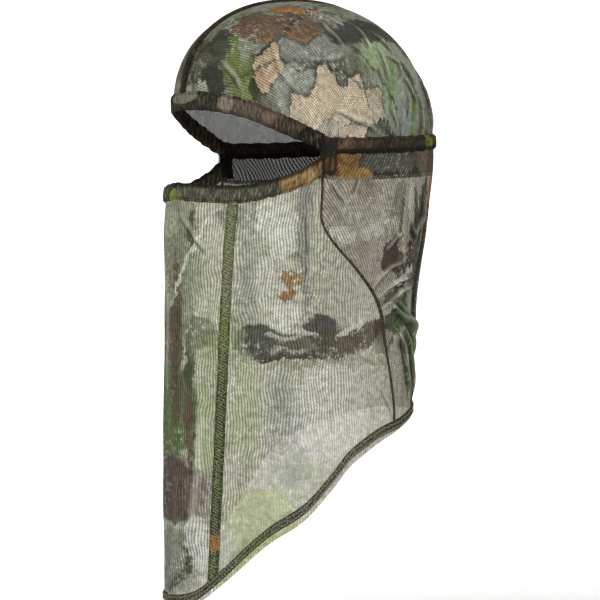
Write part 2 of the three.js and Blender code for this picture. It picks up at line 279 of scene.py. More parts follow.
def cloth_point(angle, depth, offset=0.0):
    """Points on the worn cloth in millimetres, with painted shade in the hollows of its folds and a painted
    highlight on their tops there.
    """
    angle, depth = np.broadcast_arrays(np.asarray(angle, float), np.asarray(depth, float))
    depth = np.maximum(depth, 1e-3)
    base, normal = bare_point(angle, depth), bare_normal(angle, depth)
    lift, valley, crest = relief(angle, depth, base, normal)
    return base + tuck(angle, depth) + normal * (lift + offset)[..., None], valley, crest


def degrees_for(length, angle, depth):
    """The turn that takes up a length round the mask, in millimetres."""
    turn = np.radians(angle)
    speed = np.hypot(half_width(depth) * np.cos(turn), reach(angle, depth) * np.sin(turn))
    return np.degrees(length / speed)


def line_between(start, end, points):
    """A smooth line's depth at any angle, through [angle, share] points between two depths."""
    xs, ys = np.array(points, float).T
    slopes = np.array([(ys[min(i + 1, len(ys) - 1)] - ys[max(i - 1, 0)])
                       / (xs[min(i + 1, len(xs) - 1)] - xs[max(i - 1, 0)]) for i in range(len(xs))])

    def at(angle):
        i = np.clip(np.searchsorted(xs, angle, side="left") - 1, 0, len(xs) - 2)
        span = xs[i + 1] - xs[i]
        s = np.clip((angle - xs[i]) / span, 0, 1)
        rise = ys[i + 1] - ys[i]
        bend = (slopes[i] * span * (1 - s) - slopes[i + 1] * span * s + rise * (2 * s - 1)) * s * (1 - s)
        return start + (end - start) * (ys[i] + rise * s + bend)
    return at


BROW_DEPTH = 89
BAND_DEPTH = 124           # the headband's lower edge at the temples, and its rise toward the back
BAND_RISE = 8
CASING_WIDTH = 15
CASING_LAP = 2             # how far the cloth runs up under a casing


def fold_over(angle):
    """The angle from the front on either side."""
    return np.abs(signed_turn(angle))


eye_top = line_between(BROW_DEPTH, 122, [[0, 0], [20, 0.04], [40, 0.22], [57, 0.57], [76, 1]])


def band_bottom(turn):
    return BAND_DEPTH - BAND_RISE * ease(turn, TEMPLE, 180)


def upper_edge(angle):
    turn = fold_over(angle)
    return np.where(turn <= TEMPLE, eye_top(turn), band_bottom(turn) - 0.3)


def crown_rim(angle):
    return upper_edge(angle) - CASING_WIDTH + 2 * ease(fold_over(angle), TEMPLE - 16, TEMPLE + 8)


def region(left, right, top, bottom, spread=lambda share: share):
    """Places over a patch of cloth: its sides are angles at a depth, and its ends depths at an angle. Each
    needs the other, so they are settled in turns."""
    def place(across, down):
        angle = left(CHIN_DEPTH) + (right(CHIN_DEPTH) - left(CHIN_DEPTH)) * across
        for _ in range(40):
            depth = top(angle) + (bottom(angle) - top(angle)) * spread(down)
            angle = left(depth) + (right(depth) - left(depth)) * across
        return angle, depth
    return place


def below(line, length):
    """A line that runs a length below another, or above it where the length is negative."""
    return lambda angle: line(angle) + length


def link_mesh(name, points, faces, uvs, **shares):
    """A smooth-shaded piece from points in millimetres, with its cloth map in millimetres. Each share
    is a value from 0 to 1 kept at its points for the material."""
    mesh = bpy.data.meshes.new(name)
    mesh.from_pydata((points * MM).tolist(), [], faces)
    layer = mesh.uv_layers.new(name="cloth")
    loops = np.empty(len(mesh.loops), np.int32)
    mesh.loops.foreach_get("vertex_index", loops)
    layer.data.foreach_set("uv", np.asarray(uvs, np.float32)[loops].ravel())
    for title, values in shares.items():
        kept = mesh.attributes.new(title, "FLOAT", "POINT")
        kept.data.foreach_set("value", np.asarray(values, np.float32).ravel())
    mesh.polygons.foreach_set("use_smooth", [True] * len(mesh.polygons))
    mesh.update()
    piece = bpy.data.objects.new(name, mesh)
    bpy.context.scene.collection.objects.link(piece)
    return piece


MEAN_HALF_WIDTH = 77
MEAN_REACH = 108


def tube_map(angle, depth):
    """Cloth coordinates below the crown: millimetres round the mask, and down it."""
    turns = np.arange(0, 361)
    speed = np.hypot(MEAN_HALF_WIDTH * np.cos(np.radians(turns)), MEAN_REACH * np.sin(np.radians(turns)))
    length = np.concatenate([[0], np.cumsum((speed[1:] + speed[:-1]) / 2 * math.radians(1))])
    turn = signed_turn(angle)
    round_it = np.sign(turn) * np.interp(np.abs(turn), turns, length)
    return np.stack([round_it, -depth + 0 * turn], -1)


def crown_map(angle, depth):
    """Cloth coordinates on the crown: millimetres from the top, spread flat."""
    shares = 1 - np.cos(np.linspace(0, np.pi / 2, 25))
    path = bare_point(np.asarray(angle)[..., None], np.asarray(depth)[..., None] * shares)
    length = np.linalg.norm(np.diff(path, axis=-2), axis=-1).sum(-1)
    plan = path[..., -1, :2]
    plan = plan / np.maximum(np.linalg.norm(plan, axis=-1, keepdims=True), 1e-9)
    return plan * length[..., None]


def sheet(name, place, columns, rows, cloth_map=tube_map):
    """One layer of cloth over a region."""
    across, down = np.meshgrid(np.linspace(0, 1, columns + 1), np.linspace(0, 1, rows + 1))
    angle, depth = place(across, down)
    points, valley, crest = cloth_point(angle, depth)
    index = np.arange(valley.size).reshape(rows + 1, columns + 1)
    corners = np.stack([index[:-1, :-1], index[1:, :-1], index[1:, 1:], index[:-1, 1:]], -1).reshape(-1, 4)
    return link_mesh(name, points.reshape(-1, 3), corners.tolist(), cloth_map(angle, depth).reshape(-1, 2),
                     valley=valley, crest=crest)


def colour(code):
    """sRGB hex to linear."""
    parts = [int(code[i:i + 2], 16) / 255 for i in (1, 3, 5)]
    return tuple(c / 12.92 if c <= 0.04045 else ((c + 0.055) / 1.055) ** 2.4 for c in parts) + (1.0,)


def add(tree, kind, sockets=None, stops=None, **settings):
    """Adds a node. settings are its properties; sockets its inputs by name or number, each a value, a
    hex colour, or the node or socket that feeds it; stops the places and colours of a ramp."""
    node = tree.nodes.new(kind)
    for key, value in settings.items():
        setattr(node, key, value)
    for key, value in (sockets or {}).items():
        if isinstance(value, bpy.types.Node):
            value = value.outputs[0]
        if isinstance(value, bpy.types.NodeSocket):
            tree.links.new(value, node.inputs[key])
        else:
            node.inputs[key].default_value = colour(value) if str(value).startswith("#") else value
    if stops:
        bar = node.color_ramp.elements
        while len(bar) < len(stops):
            bar.new(0.5)
        for element, (place, code) in zip(bar, stops):
            element.position, element.color = place, colour(code)
    return node


def print_ink(tree, under, ink, mask, strength):
    """Prints an ink over what is there, where the mask lets it and with some strength."""
    cover = add(tree, "ShaderNodeMath", {0: mask, 1: strength}, operation="MULTIPLY")
    return add(tree, "ShaderNodeMix", {0: cover, 6: under, 7: ink}, data_type="RGBA").outputs[2]


def new_group(name, inputs, outputs):
    """An empty node group with named sockets: the tree, its input node and its output node."""
    tree = bpy.data.node_groups.new(name, "ShaderNodeTree")
    for title, kind, value in inputs:
        socket = tree.interface.new_socket(title, in_out="INPUT", socket_type=kind)
        if value is not None:
            socket.default_value = value
    for title, kind in outputs:
        tree.interface.new_socket(title, in_out="OUTPUT", socket_type=kind)
    return tree, add(tree, "NodeGroupInput"), add(tree, "NodeGroupOutput")


# Netting: pillars of loops (wales) with courses across them. The real wales stand about 1.2 mm apart,
# too fine to show, so they are drawn 2.2 mm apart.
knit, source, sink = new_group("warp knit", [
    ("Cloth", "NodeSocketVector", None), ("Wale", "NodeSocketFloat", 2.6), ("Course", "NodeSocketFloat", 2.2),
    ("Grain", "NodeSocketFloat", 0.0), ("Dots", "NodeSocketFloat", 0.3),
], [("Yarn", "NodeSocketFloat")])
drift = add(knit, "ShaderNodeTexNoise", {"Vector": source.outputs["Cloth"], "Scale": 0.035, "Detail": 1.0})
drifted = add(knit, "ShaderNodeVectorMath", {0: drift.outputs[1], 1: (9.0, 9.0, 0.0),
                                             2: source.outputs["Cloth"]}, operation="MULTIPLY_ADD")
laid = add(knit, "ShaderNodeVectorRotate", {"Vector": drifted, "Angle": source.outputs["Grain"]},
           rotation_type="Z_AXIS")
parts = add(knit, "ShaderNodeSeparateXYZ", {0: laid})
waves = []
for axis, pitch in (("X", "Wale"), ("Y", "Course")):
    turn = add(knit, "ShaderNodeMath", {0: parts.outputs[axis], 1: source.outputs[pitch]},
               operation="DIVIDE")
    phase = add(knit, "ShaderNodeMath", {0: turn, 1: 2 * math.pi}, operation="MULTIPLY")
    waves.append(phase)
zigzag = add(knit, "ShaderNodeMath", {0: waves[1]}, operation="SINE")
lean = add(knit, "ShaderNodeMath", {0: zigzag, 1: 0.5, 2: waves[0]}, operation="MULTIPLY_ADD")
wale_wave = add(knit, "ShaderNodeMath", {0: lean}, operation="SINE")
stagger = add(knit, "ShaderNodeMath", {0: waves[0], 1: 0.5, 2: waves[1]}, operation="MULTIPLY_ADD")
course_wave = add(knit, "ShaderNodeMath", {0: stagger}, operation="SINE")
dotted = add(knit, "ShaderNodeMath", {0: course_wave, 1: source.outputs["Dots"], 2: wale_wave},
             operation="MULTIPLY_ADD")
yarn_line = add(knit, "ShaderNodeMapRange", {"Value": dotted, "From Min": -0.75, "From Max": 0.75},
                interpolation_type="SMOOTHSTEP")
knit.links.new(yarn_line.outputs[0], sink.inputs["Yarn"])

# A printed blotch: a ragged oval of ink.
blotch, source, sink = new_group("printed blotch", [
    ("Warped", "NodeSocketVector", None), ("Centre", "NodeSocketVector", None),
    ("Turn", "NodeSocketFloat", 0.0),
    ("Size", "NodeSocketVector", (1.0, 1.0, 1.0)),
], [("Mask", "NodeSocketFloat")])
local = add(blotch, "ShaderNodeVectorMath", {0: source.outputs["Warped"], 1: source.outputs["Centre"]},
            operation="SUBTRACT")
turned = add(blotch, "ShaderNodeVectorRotate", {"Vector": local, "Angle": source.outputs["Turn"]},
             rotation_type="Z_AXIS")
sized = add(blotch, "ShaderNodeVectorMath", {0: turned, 1: source.outputs["Size"]}, operation="DIVIDE")
radius = add(blotch, "ShaderNodeVectorMath", {0: sized}, operation="LENGTH")
inked = add(blotch, "ShaderNodeMapRange", {
    "Value": radius.outputs["Value"], "From Min": 0.86, "From Max": 1.08, "To Min": 1.0, "To Max": 0.0},
    interpolation_type="SMOOTHSTEP")
blotch.links.new(inked.outputs[0], sink.inputs["Mask"])

# A lobed leaf with a midrib, side veins and a shadow round it, stalk to tip along its length.
leaf, source, sink = new_group("printed leaf", [
    ("Warped", "NodeSocketVector", None), ("Centre", "NodeSocketVector", None),
    ("Turn", "NodeSocketFloat", 0.0),
    ("Length", "NodeSocketFloat", 60.0), ("Width", "NodeSocketFloat", 20.0),
    ("Lobes", "NodeSocketFloat", 3.0),
], [("Mask", "NodeSocketFloat"), ("Vein", "NodeSocketFloat"), ("Rim", "NodeSocketFloat"),
    ("Shadow", "NodeSocketFloat"), ("Half", "NodeSocketFloat")])
local = add(leaf, "ShaderNodeVectorMath", {0: source.outputs["Warped"], 1: source.outputs["Centre"]},
            operation="SUBTRACT")
turned = add(leaf, "ShaderNodeVectorRotate", {"Vector": local, "Angle": source.outputs["Turn"]},
             rotation_type="Z_AXIS")
parts = add(leaf, "ShaderNodeSeparateXYZ", {0: turned})
lengthwise = add(leaf, "ShaderNodeMath", {0: parts.outputs["X"], 1: source.outputs["Length"]},
                 operation="DIVIDE")
along = add(leaf, "ShaderNodeMath", {0: lengthwise, 1: 0.5}, operation="ADD")
inside = add(leaf, "ShaderNodeClamp", {"Value": along})
aside = add(leaf, "ShaderNodeMath", {0: parts.outputs["Y"], 1: source.outputs["Width"]}, operation="DIVIDE")
apart = add(leaf, "ShaderNodeMath", {0: aside}, operation="ABSOLUTE")
half_turn = add(leaf, "ShaderNodeMath", {0: inside, 1: math.pi}, operation="MULTIPLY")
arch = add(leaf, "ShaderNodeMath", {0: half_turn}, operation="SINE")
belly = add(leaf, "ShaderNodeMath", {0: arch, 1: 0.5}, operation="POWER")
lobe_turn = add(leaf, "ShaderNodeMath", {0: inside, 1: source.outputs["Lobes"]}, operation="MULTIPLY")
swept = add(leaf, "ShaderNodeMath", {0: apart, 1: -0.35, 2: lobe_turn}, operation="MULTIPLY_ADD")
uneven = add(leaf, "ShaderNodeMath", {0: aside, 1: 0.15, 2: swept}, operation="MULTIPLY_ADD")
whole_turns = add(leaf, "ShaderNodeMath", {0: uneven, 1: 2 * math.pi}, operation="MULTIPLY")
lobe_wave = add(leaf, "ShaderNodeMath", {0: whole_turns}, operation="SINE")
lobed = add(leaf, "ShaderNodeMath", {0: lobe_wave, 1: 0.24, 2: 0.74}, operation="MULTIPLY_ADD")
edge = add(leaf, "ShaderNodeMath", {0: belly, 1: lobed}, operation="MULTIPLY")
room = add(leaf, "ShaderNodeMath", {0: edge, 1: apart}, operation="SUBTRACT")
slanted = add(leaf, "ShaderNodeMath", {0: apart, 1: -1.0, 2: lobe_turn}, operation="MULTIPLY_ADD")
side_vein = add(leaf, "ShaderNodeMath", {0: slanted, 1: 0.5}, operation="PINGPONG")
side_line = add(leaf, "ShaderNodeMapRange", {"Value": side_vein, "From Min": 0.01, "From Max": 0.06,
                                             "To Min": 0.6, "To Max": 0.0})
mid_line = add(leaf, "ShaderNodeMapRange", {"Value": apart, "From Min": 0.01, "From Max": 0.06,
                                            "To Min": 1.0, "To Max": 0.0})
for title, start, end, low, high in (("Mask", 0.0, 0.06, 0, 1), ("Rim", 0.03, 0.2, 1, 0),
                                     ("Shadow", -0.22, 0.02, 0, 1)):
    share = add(leaf, "ShaderNodeMapRange", {
        "Value": room, "From Min": start, "From Max": end, "To Min": low, "To Max": high},
        interpolation_type="SMOOTHSTEP")
    leaf.links.new(share.outputs[0], sink.inputs[title])
veins = add(leaf, "ShaderNodeMath", {0: side_line, 1: mid_line}, operation="MAXIMUM")
leaf.links.new(veins.outputs[0], sink.inputs["Vein"])
shaded_half = add(leaf, "ShaderNodeMapRange", {"Value": aside, "From Min": -0.05, "From Max": 0.5})
leaf.links.new(shaded_half.outputs[0], sink.inputs["Half"])


def bearing_on(cloth_map, angle):
    """How far a mark turns on the cloth map so that it stands upright at an angle round the mask."""
    return -angle if cloth_map is crown_map else 0.0


def print_marks(tree, cloth, shade, marks, cloth_map, rag=9.0):
    """Prints blotches (angle, depth, half width, half height, turn, strength, colour) and leaves
    (angle, depth, length, half width, turn, lobes, fill, rim, vein) in order, with ragged edges."""
    rough = add(tree, "ShaderNodeTexNoise", {
        "Vector": cloth, "Scale": 0.1, "Detail": 5.0, "Roughness": 0.65})
    shake = add(tree, "ShaderNodeVectorMath", {0: rough.outputs[1], 1: (0.5, 0.5, 0.5)},
                operation="SUBTRACT")
    warped = add(tree, "ShaderNodeVectorMath", {0: shake, 1: (2.2 * rag, 2.2 * rag, 0.0), 2: cloth},
                 operation="MULTIPLY_ADD")
    for mark in marks:
        is_leaf = len(mark) == 9
        spot = cloth_map(np.array(float(mark[0])), np.array(float(mark[1])))
        node = add(tree, "ShaderNodeGroup", node_tree=leaf if is_leaf else blotch)
        tree.links.new(warped.outputs[0], node.inputs["Warped"])
        node.inputs["Centre"].default_value = (float(spot[0]), float(spot[1]), 0.0)
        node.inputs["Turn"].default_value = math.radians(bearing_on(cloth_map, mark[0]) - mark[4])
        if is_leaf:
            node.inputs["Length"].default_value = mark[2]
            node.inputs["Width"].default_value = mark[3]
            node.inputs["Lobes"].default_value = mark[5]
            fill = print_ink(tree, mark[6], mark[7], node.outputs["Rim"], 0.7)
            fill = print_ink(tree, fill, mark[8], node.outputs["Half"], 0.45)
            fill = print_ink(tree, fill, mark[8], node.outputs["Vein"], 0.6)
            shade = print_ink(tree, shade, "#17180f", node.outputs["Shadow"], 0.75)
            shade = print_ink(tree, shade, fill, node.outputs["Mask"], 0.95)
        else:
            node.inputs["Size"].default_value = (mark[2], mark[3], 1.0)
            shade = print_ink(tree, shade, mark[6], node.outputs["Mask"], mark[5])
    return shade


def netting(name, ground, bark, marks, cloth_map, cover, grain=0.0, wale=2.6, dots=0.3, speckle=0.5):
    """Polyester netting, warp-knitted and then printed. The print follows the cloth and its small holes let
    through what lies behind. Where folds bunch it, it is denser and darkened with painted shade; painted
    shade also darkens the gaps between its yarns, and a painted highlight lightens the tops of its folds."""
    material = bpy.data.materials.new(name)
    material.use_nodes = True
    tree = material.node_tree
    tree.nodes.clear()
    cloth = add(tree, "ShaderNodeUVMap", uv_map="cloth").outputs[0]
    broad = add(tree, "ShaderNodeTexNoise", {
        "Vector": cloth, "Scale": 0.024, "Detail": 5.0, "Roughness": 0.62})
    shade = add(tree, "ShaderNodeValToRGB", {"Fac": broad}, stops=ground).outputs[0]
    stretched = add(tree, "ShaderNodeMapping", {"Vector": cloth, "Scale": (0.2, 0.03, 1.0)})
    streaks = add(tree, "ShaderNodeTexNoise", {
        "Vector": stretched, "Scale": 1.0, "Detail": 6.0, "Roughness": 0.7})
    streak_mask = add(tree, "ShaderNodeMapRange", {"Value": streaks, "From Min": 0.5, "From Max": 0.66})
    shade = print_ink(tree, shade, bark, streak_mask, 0.5)
    shade = print_marks(tree, cloth, shade, marks, cloth_map)
    speck = add(tree, "ShaderNodeTexNoise", {
        "Vector": cloth, "Scale": 0.22, "Detail": 5.0, "Roughness": 0.8})
    patch = add(tree, "ShaderNodeTexNoise", {"Vector": cloth, "Scale": 0.03, "Detail": 2.0})
    flecks = add(tree, "ShaderNodeMapRange", {"Value": speck, "From Min": 0.53, "From Max": 0.62})
    patches = add(tree, "ShaderNodeMapRange", {"Value": patch, "From Min": 0.48, "From Max": 0.62})
    lichen = add(tree, "ShaderNodeMath", {0: flecks, 1: patches}, operation="MULTIPLY")
    shade = print_ink(tree, shade, "#dcddce", lichen, speckle)
    grit = add(tree, "ShaderNodeMapRange", {"Value": speck, "From Min": 0.36, "From Max": 0.6,
                                            "To Min": 0.5, "To Max": 1.12})
    loops = add(tree, "ShaderNodeGroup", {"Cloth": cloth, "Grain": math.radians(grain), "Wale": wale,
                                          "Dots": dots}, node_tree=knit)
    # Painted shade: the gaps between the yarns are darkened and the yarns lightened; fine random mottling of
    # the print is multiplied in below.
    gap_shade = add(tree, "ShaderNodeMapRange", {"Value": loops, "To Min": 0.55, "To Max": 1.12})
    mottling_and_gap_shade = add(tree, "ShaderNodeMath", {0: gap_shade, 1: grit}, operation="MULTIPLY")
    shade = add(tree, "ShaderNodeVectorMath", {0: shade, "Scale": mottling_and_gap_shade},
                operation="SCALE").outputs[0]
    valley = add(tree, "ShaderNodeAttribute", attribute_name="valley").outputs["Fac"]
    crest = add(tree, "ShaderNodeAttribute", attribute_name="crest").outputs["Fac"]
    # Painted shade darkens the hollows of the folds; the bunched cloth there is also less open, below.
    shade = print_ink(tree, shade, "#191a12", valley, 0.85)
    # Painted highlight on the tops of the folds.
    shade = print_ink(tree, shade, "#e8e9da", crest, 0.22)
    holes = add(tree, "ShaderNodeMapRange", {"Value": loops, "To Min": cover[0], "To Max": cover[1]})
    bunched = add(tree, "ShaderNodeMath", {0: holes, 1: valley}, operation="MAXIMUM")
    bump = add(tree, "ShaderNodeBump", {"Height": loops, "Strength": 0.4, "Distance": 0.0004})
    weave = add(tree, "ShaderNodeBsdfPrincipled", {
        "Base Color": shade, "Roughness": 0.9, "Alpha": bunched, "Normal": bump,
        "Specular IOR Level": 0.25})
    add(tree, "ShaderNodeOutputMaterial", {"Surface": weave})
    return material


# The crown's print: rust and tan oak leaves over moss, grey bark and dark forest floor. The netting is
# stretched over the head here, so it looks closed, matt and dark, with a painted highlight on the tops of its
# folds.
CROWN_MARKS = [
    (6, 52, 30, 20, 0, 0.85, "#4a4d36"), (-45, 60, 46, 22, 0, 0.85, "#34362a"),
    (24, 38, 18, 16, -30, 0.85, "#2b2f18"), (22, 68, 15, 17, 0, 0.92, "#2a2b22"),
    (12, 78, 20, 11, 0, 0.85, "#a9ab95"), (30, 34, 9, 5, 30, 0.8, "#52682a"),
    (120, 62, 48, 46, 0, 0.9, "#98a489"), (106, 44, 20, 14, 20, 0.75, "#9dae80"),
    (112, 66, 5, 24, -22, 0.8, "#6f9040"), (118, 94, 14, 16, 0, 0.7, "#8b9090"),
    (126, 88, 5, 24, -16, 0.8, "#5d7f33"), (134, 98, 5, 16, 0, 0.8, "#86a451"),
    (66, 76, 30, 26, 0, 0.85, "#9da095"), (72, 38, 27, 22, 0, 0.92, "#888a82"),
    (72, 57, 24, 1.8, 4, 0.8, "#33352c"), (37, 60, 16, 32, 4, 0.95, "#69763a"),
    (43, 78, 11, 11, 0, 0.8, "#7c874a"), (38, 42, 6, 12, 10, 0.75, "#8f9680"),
    (47, 60, 52, 8, 72, 2, "#37461b", "#4f6424", "#20230e"), (112, 24, 50, 12, 0, 0.88, "#2b2b23"),
    (96, 12, 14, 6, 0, 0.7, "#6d6e66"), (160, 30, 34, 20, 0, 0.9, "#2a241b"),
    (166, 64, 26, 40, 0, 0.9, "#33291c"), (156, 96, 12, 22, 0, 0.9, "#8a5a32"),
    (150, 56, 9, 18, 0, 0.8, "#5a503e"), (-90, 40, 34, 26, 0, 0.85, "#888a82"),
    (-128, 60, 18, 40, 8, 0.92, "#69763a"), (-80, 84, 30, 20, 0, 0.85, "#9da095"),
    (-150, 84, 22, 30, 0, 0.88, "#33291c"), (-58, 64, 12, 26, 6, 0.92, "#69763a"),
    (53, 22, 78, 21, 6, 2, "#6f5540", "#a5773c", "#3f2e20"),
    (62, 9, 46, 9, 8, 1, "#9b6f38", "#b08444", "#5a3a1e"),
    (-60, 30, 90, 30, 10, 3, "#7a5230", "#a86c30", "#3c2614"),
    (-110, 70, 90, 32, 0, 3, "#b7a182", "#d0bb98", "#95795a"),
    (51, 57, 46, 15, 66, 1, "#c4ad8b", "#d2b995", "#8f7757"),
    (80, 92, 128, 42, 6, 3, "#dccdb0", "#ecdcc0", "#b8a180"),
    (101, 84, 34, 14, -35, 1, "#cfc2aa", "#b3a48c", "#8d7e69"),
    (78, 104, 44, 8, 12, 1, "#c6c0b0", "#d6d1c2", "#a09988"),
]
CROWN_GROUND = [(0.32, "#3f4128"), (0.45, "#787c62"), (0.55, "#8a8b7e"), (0.7, "#574532")]
crown_netting = netting("printed warp-knit polyester netting, crown", CROWN_GROUND, "#4a4a38", CROWN_MARKS,
                        crown_map, (0.84, 1.0), grain=62, wale=2.2, dots=0.5)


HALF_CROWN_SEAM = 3


def crown_lean(depth):
    """The angle at which a crown panel starts beside the centre seam."""
    return np.degrees(np.arcsin(HALF_CROWN_SEAM / np.maximum(half_width(depth), HALF_CROWN_SEAM)))


CROWN_START = SIDE_FULL_DEPTH * (1 - (1 - (HALF_CROWN_SEAM / CROWN_HALF_WIDTH) ** FULLNESS) ** (1 / FULLNESS))
crown_place = region(crown_lean, lambda d: 180 - crown_lean(d), lambda a: CROWN_START + 0 * a,
                     below(crown_rim, CASING_LAP), lambda share: 1 - np.cos(share * np.pi / 2))


def other_side(place):
    """The same region on the wearer's right, with its columns still running to the left."""
    def mirror(across, down):
        angle, depth = place(1 - across, down)
        return -angle, depth
    return mirror


def finish_cloth(piece, material, nodes, body=None):
    """Gives a piece its material and, where it rides on one body, that body, and hides the CAD nodes that
    it stands for."""
    piece.data.materials.append(material)
    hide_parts(*nodes)
    if body:
        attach(piece, body)


def close_pole(piece):
    """Merges points that lie on each other."""
    work = bmesh.new()
    work.from_mesh(piece.data)
    bmesh.ops.remove_doubles(work, verts=work.verts, dist=1e-6)
    bmesh.ops.dissolve_degenerate(work, edges=work.edges, dist=1e-6)
    work.to_mesh(piece.data)
    work.free()


for side, turned_place in (("left", crown_place), ("right", other_side(crown_place))):
    panel = sheet(f"crown_cloth_{side}", turned_place, 250, 130, crown_map)
    close_pole(panel)
    finish_cloth(panel, crown_netting, [f"crown_panel_{side}"], "hood")


# ---------------------------------------------------------------- crown centre seam
# The two crown panels are overlocked together and the seam is bound, so it stands up as a dark ridge
# from the brow over the top to the headband.

def ribbon(name, place, stations, section, lengthways="down", gathers=None, cloth_map=tube_map):
    """A closed strip of folded cloth: section is a loop of (share across, height) points."""
    along = np.linspace(0, 1, stations + 1)[:, None]
    shares = np.array([s for s, _ in section])[None, :] + 0 * along
    heights = np.array([h for _, h in section])[None, :] + 0 * along
    along = along + 0 * shares
    angle, depth = place(shares, along) if lengthways == "down" else place(along, shares)
    if gathers:
        angle, depth, heights = gathers(angle, depth, heights, shares)
    points, valley, _ = cloth_point(angle, depth, heights)
    size = len(section)
    faces = [[i * size + k, i * size + (k + 1) % size, (i + 1) * size + (k + 1) % size, (i + 1) * size + k]
             for i in range(stations) for k in range(size)]
    faces += [list(range(size)), [stations * size + k for k in reversed(range(size))]]
    piece = link_mesh(name, points.reshape(-1, 3), faces, cloth_map(angle, depth).reshape(-1, 2),
                      across=shares, valley=valley)
    work = bmesh.new()
    work.from_mesh(piece.data)
    bmesh.ops.recalc_face_normals(work, faces=work.faces)
    if work.calc_volume(signed=True) < 0:
        bmesh.ops.reverse_faces(work, faces=work.faces)
    work.to_mesh(piece.data)
    work.free()
    return piece


def flat_section(outer, inner, points=7, groove=0.0):
    """A flattened oval: outer and inner heights, with a stitch groove near each edge."""
    shares = np.linspace(0, 1, points)
    crown = np.sqrt(np.clip(1 - np.abs(2 * shares - 1) ** 4, 0, 1))
    dip = groove * np.exp(-((np.abs(2 * shares - 1) - 0.7) / 0.12) ** 2)
    top = [(float(s), float(outer * c - d)) for s, c, d in zip(shares, crown, dip)]
    under = [(float(s), float(-inner * c)) for s, c in zip(shares, crown)][1:-1]
    return top + under[::-1]


def folded_cloth(name, base, fleck, marks=(), cloth_map=tube_map, grain=(0.5, 0.5), pale="#a9a890",
                 pale_strength=0.5, dark_edge=None):
    """The same netting folded in layers and stitched down: dense and matt, with painted shade in tiny pits
    and in the hollows of its folds.
    grain is streaks per millimetre round and down; dark_edge the shares across between which it turns
    black."""
    material = bpy.data.materials.new(name)
    material.use_nodes = True
    tree = material.node_tree
    tree.nodes.clear()
    cloth = add(tree, "ShaderNodeUVMap", uv_map="cloth").outputs[0]
    broad = add(tree, "ShaderNodeTexNoise", {
        "Vector": cloth, "Scale": 0.06, "Detail": 4.0, "Roughness": 0.65})
    shade = add(tree, "ShaderNodeValToRGB", {"Fac": broad}, stops=[(0.38, base), (0.62, fleck)]).outputs[0]
    shade = print_marks(tree, cloth, shade, marks, cloth_map, rag=5.0)
    stretched = add(tree, "ShaderNodeMapping", {"Vector": cloth, "Scale": (grain[0], grain[1], 1.0)})
    streaks = add(tree, "ShaderNodeTexNoise", {
        "Vector": stretched, "Scale": 1.0, "Detail": 3.0, "Roughness": 0.7})
    flecks = add(tree, "ShaderNodeMapRange", {"Value": streaks, "From Min": 0.52, "From Max": 0.66})
    shade = print_ink(tree, shade, pale, flecks, pale_strength)
    # Painted shade in the tiny pits between the folded threads.
    pit_shade = add(tree, "ShaderNodeMapRange", {"Value": streaks, "From Min": 0.5, "From Max": 0.34})
    shade = print_ink(tree, shade, "#0f0f0a", pit_shade, 0.8)
    if dark_edge:
        across = add(tree, "ShaderNodeAttribute", attribute_name="across").outputs["Fac"]
        rim = add(tree, "ShaderNodeMapRange", {
            "Value": across, "From Min": dark_edge[0], "From Max": dark_edge[1]},
            interpolation_type="SMOOTHSTEP")
        shade = print_ink(tree, shade, "#0c0c09", rim, 0.85)
    # Painted shade in the hollows of the folds.
    valley = add(tree, "ShaderNodeAttribute", attribute_name="valley").outputs["Fac"]
    shade = print_ink(tree, shade, "#12110c", valley, 0.7)
    bump = add(tree, "ShaderNodeBump", {"Height": streaks, "Strength": 0.8, "Distance": 0.0008})
    weave = add(tree, "ShaderNodeBsdfPrincipled", {
        "Base Color": shade, "Roughness": 0.93, "Normal": bump, "Specular IOR Level": 0.2})
    add(tree, "ShaderNodeOutputMaterial", {"Surface": weave})
    return material


def crown_seam_place(across, down):
    """Places on the seam's strip, which keeps to the middle from the brow over to the back."""
    x = 2 * HALF_CROWN_SEAM * (across - 0.5)
    start = SIDE_FULL_DEPTH * (1 - (1 - (np.abs(x) / CROWN_HALF_WIDTH) ** FULLNESS) ** (1 / FULLNESS))
    along = 2 * down - 1
    angle = np.where(along < 0, 0.0, 180.0) + 0 * x
    for _ in range(25):
        depth = start + (crown_rim(angle) + 1 - start) * (1 - np.cos(along * np.pi / 2))
        lean = np.degrees(np.arcsin(np.clip(x / np.maximum(half_width(depth), 1e-9), -1, 1)))
        angle = np.where(along < 0, lean, 180 - lean)
    return angle, depth


# Several layers oversewn and bound: a dull, nearly black ridge flecked with brown.
bound_seam = folded_cloth("bound overlock seam, black brown", "#1b1812", "#3a2c1e", cloth_map=crown_map,
                          pale="#6a5a40", pale_strength=0.3)
crown_seam = ribbon("crown_centre_seam", crown_seam_place, 240, flat_section(2.4, 0.9), cloth_map=crown_map)
finish_cloth(crown_seam, bound_seam, ["crown_centre_seam"], "hood")


# ---------------------------------------------------------------- brow hem
# The crown's edge above the eyes, folded over into a casing 15 mm wide. The elastic inside gathers it,
# most of all toward the temples.

def at_angle(angle):
    return lambda depth: angle + 0 * depth


ELASTIC_HALF_WIDTH = 4


def gathered(strength, pitch, seed):
    """Puckers across a casing, deeper toward its ends, with its edges pulled into small scallops."""
    def apply(angle, depth, heights, shares):
        length = tube_map(angle, depth)[..., 0]
        amount = strength * (0.5 + 0.5 * ease(fold_over(angle), 30, TEMPLE))
        wave = np.sin(2 * np.pi * length / pitch + 1.8 * ripple(length / 13, 0 * depth, seed))
        middle = np.sin(np.pi * np.clip(shares, 0, 1))
        crumple = 0.5 * ripple(length / 2, depth / 3, seed + 1)
        heights = heights + amount * (wave * (0.35 + 0.65 * middle) + crumple)
        depth = depth + amount * 0.6 * np.cos(np.pi * length / pitch + seed) * (2 * shares - 1)
        return angle, depth, heights
    return apply


